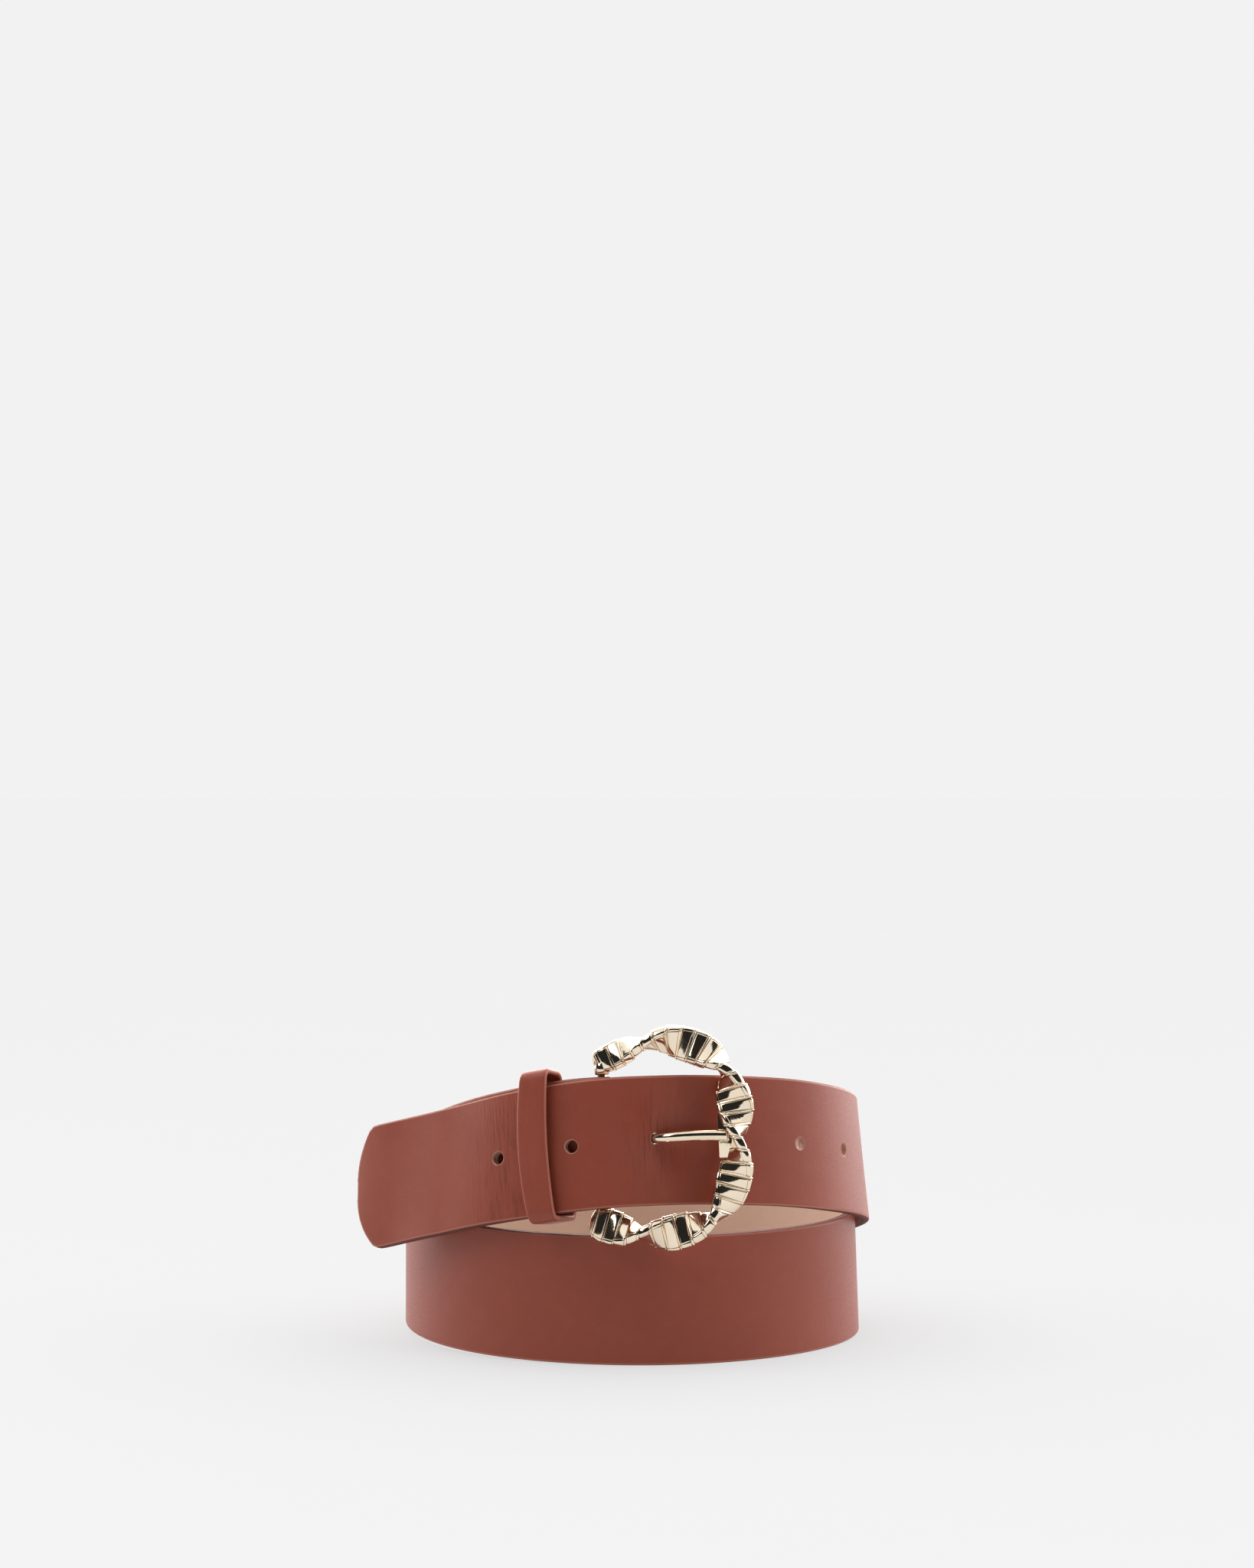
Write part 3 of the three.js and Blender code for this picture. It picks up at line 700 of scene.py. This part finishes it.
# Share of the frame's twist that a rib follows over its own width, facing and edge on
TURN_KEPT = (0.45, 0.85)
RIBBON_RATIOS = (1.2, 2.2)  # of width to thickness, at which the section is round and a ribbon
LINE_NOTCH = 0.75  # how deep a line cuts into the outline, as a share of its depth
GROOVE_DEPTH = 0.24  # at which the darkening in a line is full
BAND_LINE = (0.79, 0.03)  # middle and width of the edge band's line, as shares of the half width
# Share of the cut lines' darkening that the edge band's line gets
BAND_DARKENING = 0.8


def ribbon_section():
    """The whole section, going once round, as (share of width, share of thickness)."""
    top = [[-x, y] for x, y in reversed(RIBBON_QUARTER)] + RIBBON_QUARTER[1:]
    return np.array(top + [[x, -y] for x, y in reversed(top)])


def rib_rings(end):
    """Distance along the frame and depth of the cut there, for every ring of its skin."""
    pattern = [[-x, y] for x, y in reversed(RIB_RINGS[1:])] + RIB_RINGS[:-1]
    rings = []
    count = round(end / RIB_PITCH)
    pitch = end / count
    for k in range(count):
        middle = (k + 0.5) * pitch
        rings += [[middle + x * pitch / RIB_PITCH, depth] for x, depth in pattern]
    rings.append([end, RIB_RINGS[-1][1]])
    rings = np.array(rings)
    to_end = np.minimum(rings[:, 0], end - rings[:, 0])
    rings[:, 1] *= ease(to_end / RIB_FADE)
    rings[0, 0] = 0
    return rings


def stepped_twist(table, at):
    """The frame's twist in degrees, nearly constant over each rib and stepping at the lines."""
    end = table[-1, 0]
    pitch = end / round(end / RIB_PITCH)
    line = (np.floor(at / pitch) + 0.5) * pitch
    own = smooth(table, at)[:, 3]

    def of_rib(middle):
        level = smooth(table, np.clip(middle, 0, end))[:, 3]
        edge_on = np.sin(np.radians(level)) ** 2
        return level + (TURN_KEPT[0] * (1 - edge_on) + TURN_KEPT[1] * edge_on) * (own - level)

    share = np.clip((at - line) / STEP_WIDTH + 0.5, 0, 1)
    return of_rib(line - pitch / 2) * (1 - share) + of_rib(line + pitch / 2) * share


def buckle_skin():
    """Rings of the twisted frame, and how far each point lies in a line."""
    table = with_distance(FRAME)
    end = table[-1, 0]
    rings = rib_rings(end)
    section = ribbon_section()
    round_section = section / np.linalg.norm(section, axis=1, keepdims=True)
    at = rings[:, 0]
    x, y, z, _, wide, thick = smooth(table, at).T
    run = (smooth(table, at + FRAME_NUDGE) - smooth(table, at - FRAME_NUDGE))[:, :2]
    outward = unit(np.column_stack([-run[:, 1], run[:, 0], 0 * at]))
    front = np.array([0, 0, 1.0])
    turn = np.radians(stepped_twist(table, at))[:, None]
    edge = -outward * np.cos(turn) + front * np.sin(turn)
    flat = outward * np.sin(turn) + front * np.cos(turn)
    low, high = RIBBON_RATIOS
    ribbon = ease((wide / thick - low) / (high - low))[:, None, None]
    shape = round_section[None] * (1 - ribbon) + section[None] * ribbon
    depth = rings[:, 1][:, None]
    across = shape[..., 0] * (wide[:, None] - LINE_NOTCH * depth * abs(shape[..., 0]) ** 6)
    through = shape[..., 1] * (thick[:, None] - depth)
    points = np.stack([x, y, z], -1)[:, None] + across[..., None] * edge[:, None]
    points = points + through[..., None] * flat[:, None]
    groove = np.repeat(np.clip(depth / GROOVE_DEPTH, 0, 1), len(section), axis=1)
    band = hump(abs(section[:, 0]), *BAND_LINE)[None] * ribbon[..., 0]
    return points, np.maximum(groove, BAND_DARKENING * band)


def bevelled_box(low, high, bevel):
    """A box with rounded edges, as rings along its second direction."""
    low, high = np.array(low, float), np.array(high, float)
    middle, half = (low + high) / 2, (high - low) / 2
    corners = []
    for k, (sx, sz) in enumerate([(1, 1), (-1, 1), (-1, -1), (1, -1)]):
        for a in np.radians(90 * k + np.array([0, 30, 60, 90])):
            corners.append([sx * (half[0] - bevel), sz * (half[2] - bevel), math.cos(a), math.sin(a)])
    x, z, cos, sin = np.array(corners).T
    rings = []
    for sign, angles in ((-1, (0, 30, 60, 90)), (1, (90, 60, 30, 0))):
        for a in np.radians(angles):
            grow = bevel * math.sin(a)
            level = middle[1] + sign * (half[1] - bevel + bevel * math.cos(a))
            ring = [middle[0] + x + cos * grow, np.full(len(x), level), middle[2] + z + sin * grow]
            rings.append(np.column_stack(ring))
    return skin(rings)


def rod_profile(low, high, radius, bevels):
    """Profile of a round rod for lathe(), with a bevel at its low and its high end."""
    profile = [[low, AXIS_GAP], [low, radius - bevels[0]], [low + bevels[0], radius]]
    return profile + [[high - bevels[1], radius], [high, radius - bevels[1]], [high, AXIS_GAP]]


def bar_post(side):
    """The round end that holds the bar, at the top (1) or the bottom (-1) of the frame."""
    points, faces = lathe(rod_profile(POST_FROM, POST_TO, POST_RADIUS, POST_BEVELS), ROD_SIDES)
    points = points[:, [1, 0, 2]] * [1, side, 1]
    return points, facing_out(points - points.mean(0), faces)


def make_buckle(gold):
    """The twisted frame with its two posts and the bridge under the prong's tip."""
    points, groove = buckle_skin()
    rest = bevelled_box(*REST, REST_BEVEL)
    points, faces = joined([skin(points), rest, bar_post(1), bar_post(-1)])
    groove = np.concatenate([groove.ravel(), np.zeros(len(points) - groove.size)])
    points = placed(points, BUCKLE)
    look = ("pale_gold", gold, {"groove": groove}, 50)
    piece = mesh_piece("twisted_frame", points, faces, "buckle", *look)
    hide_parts("buckle_frame")


def make_bar(gold):
    bevels = (BAR_BEVEL, BAR_BEVEL)
    profile = rod_profile(-BAR_HALF_LENGTH, BAR_HALF_LENGTH, BAR_RADIUS, bevels)
    points, faces = lathe(profile, ROD_SIDES)
    points = placed(points[:, [1, 0, 2]], BUCKLE)
    faces = facing_out(points - points.mean(0), faces)
    piece = mesh_piece("buckle_bar", points, faces, "buckle", "pale_gold", gold)
    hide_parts("hinge_bar")


def prong_skin():
    """The prong's round shank with a cut end whose rim is softened."""
    table = with_distance(PRONG)
    end = table[-1, 0]
    shank, rim = np.linspace(0, end - PRONG_END[0][0], PRONG_RINGS), np.array(PRONG_END[1:])
    at = np.concatenate([shank, end - rim[:, 0]])
    shrink = np.concatenate([np.zeros(PRONG_RINGS), rim[:, 1]])
    x, y, z, radius = smooth(table, at).T
    run = unit((smooth(table, at + PRONG_NUDGE) - smooth(table, at - PRONG_NUDGE))[:, :3])
    up = unit(np.array([0, 1.0, 0]) - run * run[:, 1:2])
    side = np.cross(run, up)
    turns = np.arange(ROD_SIDES) * 2 * math.pi / ROD_SIDES
    around = np.cos(turns)[None, :, None] * up[:, None] + np.sin(turns)[None, :, None] * side[:, None]
    size = (radius - shrink)[:, None, None]
    return skin(np.stack([x, y, z], -1)[:, None] + around * size)


def make_prong(gold):
    """The shank and the collar that turns on the bar."""
    bore = BAR_RADIUS + COLLAR_PLAY
    rim = [[-COLLAR_HALF + x, COLLAR_RADIUS - y] for x, y in COLLAR_RIM]
    side = [[-COLLAR_HALF, bore]] + rim
    collar_points, collar_faces = lathe(side + [[-x, radius] for x, radius in reversed(side)])
    collar_points = collar_points[:, [1, 0, 2]]
    collar_faces = facing_out(collar_points, collar_faces)
    points, faces = joined([prong_skin(), (collar_points, collar_faces)])
    piece = mesh_piece("buckle_prong", placed(points, BUCKLE), faces, "prong", "pale_gold", gold)
    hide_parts("prong")


# ---------------------------------------------------------------- keeper and rivets


def keeper_outline():
    """Middle line of the keeper's leather from seam to seam: out, up, and its outward direction."""
    inner, outer = KEEPER_INNER - KEEPER_WALL / 2, KEEPER_OUTER + KEEPER_WALL / 2
    radius = KEEPER_CORNER + KEEPER_WALL / 2
    high = KEEPER_HALF_HEIGHT + KEEPER_WALL / 2 - radius
    corners = [
        [inner + radius, high, 180],
        [outer - radius, high, 90],
        [outer - radius, -high, 0],
        [inner + radius, -high, -90],
    ]
    rows = [[inner, KEEPER_SEAM / 2, -1, 0]]
    for x, y, first in corners:
        for a in np.radians(first - np.linspace(0, 90, 9)):
            rows.append([x + radius * math.cos(a), y + radius * math.sin(a), math.cos(a), math.sin(a)])
    rows.append([inner, -KEEPER_SEAM / 2, -1, 0])
    rows = np.array(rows)
    fine = [rows[0]]
    for before, after in zip(rows, rows[1:]):
        count = math.ceil(np.linalg.norm((after - before)[:2]) / KEEPER_STEPS[0])
        fine += [before + (after - before) * k / count for k in range(1, count + 1)]
    return np.array(fine)


def rounded_section(half_out, half_along, radius, crown):
    """Points (out, along) round a rounded rectangle whose faces are crowned."""
    rows = []
    for x, y, first in ((1, 1, 0), (-1, 1, 90), (-1, -1, 180), (1, -1, 270)):
        for a in np.radians(first + np.linspace(0, 90, 7)):
            out = x * (half_out - radius) + radius * math.cos(a)
            rows.append([out, y * (half_along - radius) + radius * math.sin(a)])
    fine = []
    for before, after in zip(rows, rows[1:] + rows[:1]):
        count = math.ceil(math.dist(before, after) / KEEPER_STEPS[1])
        for k in range(count):
            share = k / count
            fine.append([b + (a - b) * share for b, a in zip(before, after)])
    section = np.array(fine)
    section[:, 0] -= np.sign(section[:, 0]) * crown * (section[:, 1] / half_along) ** 2
    return section


def make_keeper(leather, metal):
    """The leather loop, whose front bows towards the tip, and its staple."""
    place = strap_place(BAR_AT + KEEPER_AT)
    outline = keeper_outline()
    size = (KEEPER_WALL / 2 - KEEPER_SLACK, KEEPER_HALF_LENGTH)
    section = rounded_section(*size, KEEPER_ROUNDING, KEEPER_CROWN)
    walk = np.concatenate([[0], np.cumsum(np.linalg.norm(np.diff(outline[:, :2], axis=0), axis=1))])
    front = ease((outline[:, 0] - KEEPER_INNER) / (KEEPER_OUTER - KEEPER_INNER))
    belly = front * (1 - (outline[:, 1] / (KEEPER_HALF_HEIGHT + KEEPER_WALL)) ** 2)
    stretch = 1 + KEEPER_WIDENS * belly
    out = outline[:, 0, None] + outline[:, 2, None] * section[None, :, 0]
    up = outline[:, 1, None] + outline[:, 3, None] * section[None, :, 0]
    shift = KEEPER_BOW * belly - KEEPER_LEAN * front * outline[:, 1]
    along = stretch[:, None] * section[None, :, 1] + shift[:, None]
    points, faces = skin(np.stack([out, up, along], -1))
    grain = np.stack([along, walk[:, None] + 0 * along, out], -1).reshape(-1, 3) * MM
    edge = np.repeat((KEEPER_HALF_LENGTH - abs(section[:, 1]))[None], len(outline), axis=0).ravel()
    attributes = {
        "grain": grain,
        "edge": np.clip(edge, 0, None) + KEEPER_EDGE,
        "rim": np.full(len(points), NO_EDGE),
        "strain": np.full(len(points), KEEPER_FLEX),
    }
    look = ("leather_brown", leather, attributes)
    piece = mesh_piece("keeper_loop", placed(points, place), faces, "keeper", *look)
    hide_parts("keeper_band")
    make_staple(place, metal)


def make_staple(place, metal):
    """A bent wire: two legs into the band and a crown behind it, across the seam."""
    back = KEEPER_INNER - KEEPER_WALL + KEEPER_SLACK
    crown = back - STAPLE_WIRE
    path = [[back + STAPLE_LEG, -STAPLE_HALF]]
    for a in np.radians(np.linspace(0, 90, 6)):
        out = crown + STAPLE_BEND * (1 - math.sin(a))
        path.append([out, -STAPLE_HALF + STAPLE_BEND * (1 - math.cos(a))])
    path += [[x, -y] for x, y in reversed(path)]
    path = np.array(path)
    run = unit(np.gradient(path, axis=0))
    side = np.column_stack([-run[:, 1], run[:, 0]])
    turns = np.arange(WIRE_SIDES) * 2 * math.pi / WIRE_SIDES
    flat = path[:, None] + STAPLE_WIRE * np.cos(turns)[None, :, None] * side[:, None]
    deep = np.repeat((STAPLE_WIRE * np.sin(turns))[None], len(path), axis=0)
    points, faces = skin(np.concatenate([flat, deep[..., None]], -1))
    points = placed(points, place)
    piece = mesh_piece("keeper_wire", points, faces, "keeper", "staple_wire", metal)
    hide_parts("keeper_staple")


def make_rivets(metal):
    """A domed cap on the face and a burred ring behind, for each rivet of the fold."""
    face = SURFACE - RIVET_SUNK
    dome = [[face, AXIS_GAP]] + [[face + x, RIVET_HEAD - y] for x, y in RIVET_FOOT]
    for a in np.radians(range(10, 90, 10)):
        rise = RIVET_SKIRT + (RIVET_HEIGHT - RIVET_SKIRT) * math.sin(a)
        dome.append([face + rise, RIVET_HEAD * math.cos(a)])
    dome.append([SURFACE + RIVET_HEIGHT, AXIS_GAP])
    ring = [[-face - x, radius] for x, radius in RIVET_BURR]
    for number, (distance, height) in enumerate(RIVETS, 1):
        place = strap_place(BAR_AT + distance, height)
        caps = ("rivet_cap", dome, "rivet_head"), ("rivet_burr", ring, "rivet_ring")
        for name, profile, node in caps:
            points, faces = lathe(profile)
            points = placed(points, place)
            faces = facing_out(points - points.mean(0), faces)
            piece = mesh_piece(f"{name}_{number}", points, faces, "strap", "rivet_metal", metal)
            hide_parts(f"{node}_{number}")


# ---------------------------------------------------------------- materials


class Nodes:
    """Short calls for building the node tree of a material or of the world."""

    def __init__(self, owner):
        owner.use_nodes = True
        self.owner = owner
        self.tree = owner.node_tree

    def node(self, kind, inputs=(), **settings):
        """A new node. Its inputs are linked to sockets or set to values."""
        made = self.tree.nodes.new(kind)
        for key, value in settings.items():
            setattr(made, key, value)
        for key, value in dict(inputs).items():
            if isinstance(value, bpy.types.NodeSocket):
                self.tree.links.new(value, made.inputs[key])
            else:
                made.inputs[key].default_value = value
        return made

    def attribute(self, name, output="Fac"):
        return self.node("ShaderNodeAttribute", attribute_name=name).outputs[output]

    def coordinates(self, output):
        return self.node("ShaderNodeTexCoord").outputs[output]

    def scaled(self, vector, factors):
        inputs = {0: vector, 1: factors}
        return self.node("ShaderNodeVectorMath", inputs, operation="MULTIPLY").outputs[0]

    def noise(self, vector, scale, detail=3.0, roughness=0.55):
        inputs = {"Vector": vector, "Scale": scale, "Detail": detail, "Roughness": roughness}
        return self.node("ShaderNodeTexNoise", inputs).outputs["Fac"]

    def cells(self, vector, scale):
        inputs = {"Vector": vector, "Scale": scale}
        return self.node("ShaderNodeTexVoronoi", inputs).outputs["Distance"]

    def ramp(self, value, low, high, out_low=0.0, out_high=1.0):
        inputs = {0: value, 1: low, 2: high, 3: out_low, 4: out_high}
        return self.node("ShaderNodeMapRange", inputs, interpolation_type="SMOOTHSTEP").outputs[0]

    def times(self, a, b):
        return self.node("ShaderNodeMath", {0: a, 1: b}, operation="MULTIPLY").outputs[0]

    def plus(self, a, b):
        return self.node("ShaderNodeMath", {0: a, 1: b}, operation="ADD").outputs[0]

    def mix(self, share, a, b):
        return self.node("ShaderNodeMix", {0: share, 6: a, 7: b}, data_type="RGBA").outputs[2]

    def bump(self, height, distance):
        inputs = {"Height": height, "Distance": distance, "Strength": 1.0}
        return self.node("ShaderNodeBump", inputs).outputs[0]

    def finish(self, tone, roughness, normal, **fixed):
        """Links the shader, sets its fixed sockets and returns the material."""
        shader = self.tree.nodes["Principled BSDF"]
        links = {"Base Color": tone, "Roughness": roughness, "Normal": normal}
        for key, socket in links.items():
            self.tree.links.new(socket, shader.inputs[key])
        for key, value in fixed.items():
            shader.inputs[key.replace("_", " ")].default_value = value
        return self.owner


def colour(red, green, blue):
    return (red, green, blue, 1.0)


# Features per metre of the leather's patterns
BROAD, MOTTLE, GRAIN, PORES, LINES, WIDE_LINES = 28, 210, 1100, 1500, 1250, 380
LINE_STRETCH = 0.07  # scale of the pattern up the strap, which draws its features out into lines
GRAIN_DEPTH = 0.00007
GOLD_WAVES, GOLD_HAIR, GOLD_PATCHES = 260, 5200, 90
GOLD_DEPTH = 0.00005


def leather_material(name, dark, middle, light, pale, paint, raw, crease, roughness):
    """Finished leather: mottled colour, pores, fine cross lines where it flexes, darkened with
    painted crease shade, a painted highlight just inside each edge, painted edges and raw hole
    walls. Distances to an edge are in millimetres."""
    n = Nodes(bpy.data.materials.new(name))
    place = n.attribute("grain", "Vector")
    edge = n.attribute("edge")
    rim = n.attribute("rim")
    flexed = n.attribute("strain")

    broad = n.noise(place, BROAD, 3)
    mottle = n.noise(place, MOTTLE, 4, 0.6)
    fine = n.noise(place, GRAIN, 3, 0.6)
    pores = n.cells(place, PORES)
    stretched = n.scaled(place, (1.0, LINE_STRETCH, 1.0))
    lines = n.noise(stretched, LINES, 3, 0.65)
    wide_lines = n.noise(stretched, WIDE_LINES, 2, 0.5)

    tone = n.mix(n.ramp(broad, 0.25, 0.7, 0.6, 1.0), dark, middle)
    tone = n.mix(n.ramp(mottle, 0.42, 0.8, 0.0, 0.22), tone, light)
    # Painted shade: where the leather flexes, the fine lines take the darker crease colour that stands
    # for the shade in them.
    tone = n.mix(n.times(n.ramp(lines, 0.5, 0.64, 0.0, 0.7), flexed), tone, crease)
    tone = n.mix(n.ramp(pores, 0.0, 0.22, 0.16, 0.0), tone, dark)
    # Painted highlight: a pale line just inside each edge, standing for the light that the rounded
    # edge catches.
    edge_highlight = n.times(n.ramp(edge, 0.18, 0.32), n.ramp(edge, 0.5, 0.85, 1.0, 0.0))
    tone = n.mix(n.times(edge_highlight, 0.5), tone, pale)
    tone = n.mix(n.ramp(edge, 0.08, 0.3, 1.0, 0.0), tone, paint)
    tone = n.mix(n.ramp(rim, 0.02, 0.4, 0.75, 0.0), tone, raw)

    rough = n.ramp(fine, 0.3, 0.7, roughness - 0.05, roughness + 0.07)
    rough = n.plus(rough, n.ramp(edge, 0.1, 0.6, 0.35, 0.0))

    height = n.times(fine, 0.5)
    height = n.plus(height, n.times(n.ramp(pores, 0.0, 0.35), 0.35))
    height = n.plus(height, n.times(lines, n.plus(n.times(flexed, 2.6), 0.25)))
    height = n.plus(height, n.times(wide_lines, n.times(flexed, 3.5)))
    return n.finish(tone, rough, n.bump(height, GRAIN_DEPTH), Specular_IOR_Level=0.4)


def metal_material(name, base, deep, roughness, use_grooves=True):
    """Polished plated casting: faint lacquer waves, hairline polish, darker colour in the cuts."""
    n = Nodes(bpy.data.materials.new(name))
    place = n.coordinates("Object")
    waves = n.noise(place, GOLD_WAVES, 2)
    hair = n.noise(n.scaled(place, (1.0, 1.0, 0.12)), GOLD_HAIR, 2, 0.6)
    patches = n.noise(place, GOLD_PATCHES, 3)
    tone = n.mix(n.ramp(patches, 0.35, 0.7, 0.0, 0.12), base, deep)
    if use_grooves:
        tone = n.mix(n.ramp(n.attribute("groove"), 0.35, 1.0, 0.0, 0.75), tone, deep)
    rough = n.ramp(hair, 0.3, 0.75, roughness - 0.02, roughness + 0.05)
    height = n.plus(waves, n.times(hair, 0.04))
    return n.finish(tone, rough, n.bump(height, GOLD_DEPTH), Metallic=1.0)


def floor_material():
    """A matt surface that glows a little, so that it looks pale and its shadows stay soft."""
    n = Nodes(bpy.data.materials.new("pale_floor"))
    place = n.coordinates("Object")
    tone = n.mix(n.noise(place, 4, 2), colour(0.149, 0.149, 0.149), colour(0.153, 0.153, 0.153))
    rough = n.ramp(n.noise(place, 60, 2), 0.0, 1.0, 0.85, 0.95)
    fixed = {"Specular_IOR_Level": 0.0, "Emission_Strength": 0.6}
    fixed["Emission_Color"] = colour(1.0, 0.995, 0.995)
    return n.finish(tone, rough, n.bump(n.noise(place, 300, 2), 0.00002), **fixed)


# ---------------------------------------------------------------- studio

BACKGROUND = 0.888  # what the camera sees behind the floor
LIGHT_EDGES = (0.2, 0.9)  # height, as a sine, between which the studio's light grows
LIGHT_LEVELS = (2.05, 2.9)
FRONT = (-0.15, -0.98, 0.13)  # towards the dark end of the studio, behind the camera
FRONT_SHADE = 0.02
SHADE_EDGES = (0.36, 0.46)  # cosines of the angles where the shade starts and is full
MIRRORED_EDGES = (0.04, 0.12)  # the same for what polished metal shows
MIRRORED_CEILING = (0.80, 0.86)  # height of the ceiling's edge, as a sine
MIRRORED_WALL = 5.5  # of the wall behind the belt, against the side walls
WALL_EDGES = (0.2, 0.7)  # cosines of the angles where that wall starts and is full
KEY_AT = (-0.9, -0.9, 1.3)
KEY_AIM = (0, 0, 0.05)
KEY_SIZE = 0.9
KEY_POWER = 6.0
FLOOR_RADII = (0.2, 0.6, 2.0, 8.0, 40.0)
FLOOR_SIDES = 64
CAMERA_AT = (0.003727, -1.118114, 0.18007)
CAMERA_LENS = 77.695
CAMERA_SENSOR = 36.0


def make_world():
    """A pale studio with a dark end behind the camera, which polished metal shows wider."""
    world = bpy.data.worlds.new("studio")
    bpy.context.scene.world = world
    n = Nodes(world)
    direction = n.coordinates("Generated")

    def along(axis):
        inputs = {0: direction, 1: axis}
        return n.node("ShaderNodeVectorMath", inputs, operation="DOT_PRODUCT").outputs["Value"]

    front = along(FRONT)
    up = along((0.0, 0.0, 1.0))
    light = n.ramp(up, *LIGHT_EDGES, *LIGHT_LEVELS)
    light = n.times(n.ramp(front, *SHADE_EDGES, 1.0, FRONT_SHADE), light)
    dark = n.times(n.ramp(front, *MIRRORED_EDGES), n.ramp(up, *MIRRORED_CEILING, 1.0, 0.0))
    wall = n.ramp(along((0.0, 1.0, 0.0)), *WALL_EDGES, 1.0, MIRRORED_WALL)
    mirrored = n.times(wall, n.ramp(dark, 0.0, 1.0, 1.0, FRONT_SHADE))
    ray = n.node("ShaderNodeLightPath").outputs
    strength = n.ramp(ray["Is Glossy Ray"], 0.0, 1.0, light, mirrored)
    strength = n.ramp(ray["Is Camera Ray"], 0.0, 1.0, strength, BACKGROUND)
    background = n.tree.nodes["Background"]
    background.inputs["Color"].default_value = colour(1.0, 1.0, 1.0)
    n.tree.links.new(strength, background.inputs["Strength"])


def make_key():
    """One large soft box from the upper left."""
    light = bpy.data.lights.new("key", "AREA")
    light.shape = "RECTANGLE"
    light.size = light.size_y = KEY_SIZE
    light.energy = KEY_POWER
    lamp = bpy.data.objects.new("key", light)
    lamp.location = KEY_AT
    aim = Vector(KEY_AIM) - Vector(KEY_AT)
    lamp.rotation_euler = aim.to_track_quat("-Z", "Y").to_euler()
    bpy.context.scene.collection.objects.link(lamp)


def make_floor():
    """A wide flat floor just under the belt."""
    turns = np.arange(FLOOR_SIDES) * 2 * math.pi / FLOOR_SIDES
    after = [(k + 1) % FLOOR_SIDES for k in range(FLOOR_SIDES)]
    points = [[0.0, 0.0, 0.0]]
    for radius in FLOOR_RADII:
        points += [[radius * math.cos(t), radius * math.sin(t), 0.0] for t in turns]
    faces = [(0, 1 + k, 1 + n) for k, n in enumerate(after)]
    for ring in range(len(FLOOR_RADII) - 1):
        a, b = 1 + ring * FLOOR_SIDES, 1 + (ring + 1) * FLOOR_SIDES
        faces += [(a + k, b + k, b + n, a + n) for k, n in enumerate(after)]
    mesh = bpy.data.meshes.new("floor")
    mesh.from_pydata(points, [], faces)
    mesh.materials.append(floor_material())
    floor = bpy.data.objects.new("floor", mesh)
    bpy.context.scene.collection.objects.link(floor)


def make_camera():
    """Level, a little above the belt, with a long lens."""
    lens = bpy.data.cameras.new("camera")
    lens.sensor_width = CAMERA_SENSOR
    lens.lens = CAMERA_LENS
    camera = bpy.data.objects.new("camera", lens)
    camera.location = CAMERA_AT
    camera.rotation_euler = (math.pi / 2, 0.0, 0.0)
    bpy.context.scene.collection.objects.link(camera)
    bpy.context.scene.camera = camera


# ---------------------------------------------------------------- the scene

make_camera()
raw_leather = colour(0.52, 0.30, 0.23)
brown = leather_material(
    "terracotta_leather",
    dark=colour(0.235, 0.042, 0.021),
    middle=colour(0.290, 0.056, 0.029),
    light=colour(0.345, 0.080, 0.046),
    pale=colour(0.50, 0.20, 0.14),
    # pale is a painted highlight along the edges; crease is a painted shade in the flex lines.
    paint=colour(0.13, 0.032, 0.022),
    raw=raw_leather,
    crease=colour(0.14, 0.028, 0.016),
    roughness=0.42,
)
beige = leather_material(
    "beige_lining",
    dark=colour(0.47, 0.30, 0.22),
    middle=colour(0.56, 0.375, 0.285),
    light=colour(0.64, 0.45, 0.36),
    # pale is a painted highlight along the edges; crease is a painted shade in the flex lines.
    pale=colour(0.68, 0.50, 0.41),
    paint=colour(0.085, 0.024, 0.017),
    raw=raw_leather,
    crease=colour(0.42, 0.27, 0.20),
    roughness=0.55,
)
gold = (colour(0.93, 0.80, 0.63), colour(0.42, 0.30, 0.19))
steel = (colour(0.72, 0.64, 0.52), colour(0.3, 0.24, 0.17))
pale_gold = metal_material("pale_gold", *gold, 0.07)
plain_gold = metal_material("pale_gold_plain", *gold, 0.08, False)
wire_steel = metal_material("plated_wire", *steel, 0.2, False)

make_strap(brown, beige)
make_buckle(pale_gold)
make_bar(plain_gold)
make_prong(plain_gold)
make_keeper(brown, wire_steel)
make_rivets(plain_gold)

make_floor()
make_world()
make_key()
bpy.context.scene.view_settings.view_transform = "Standard"
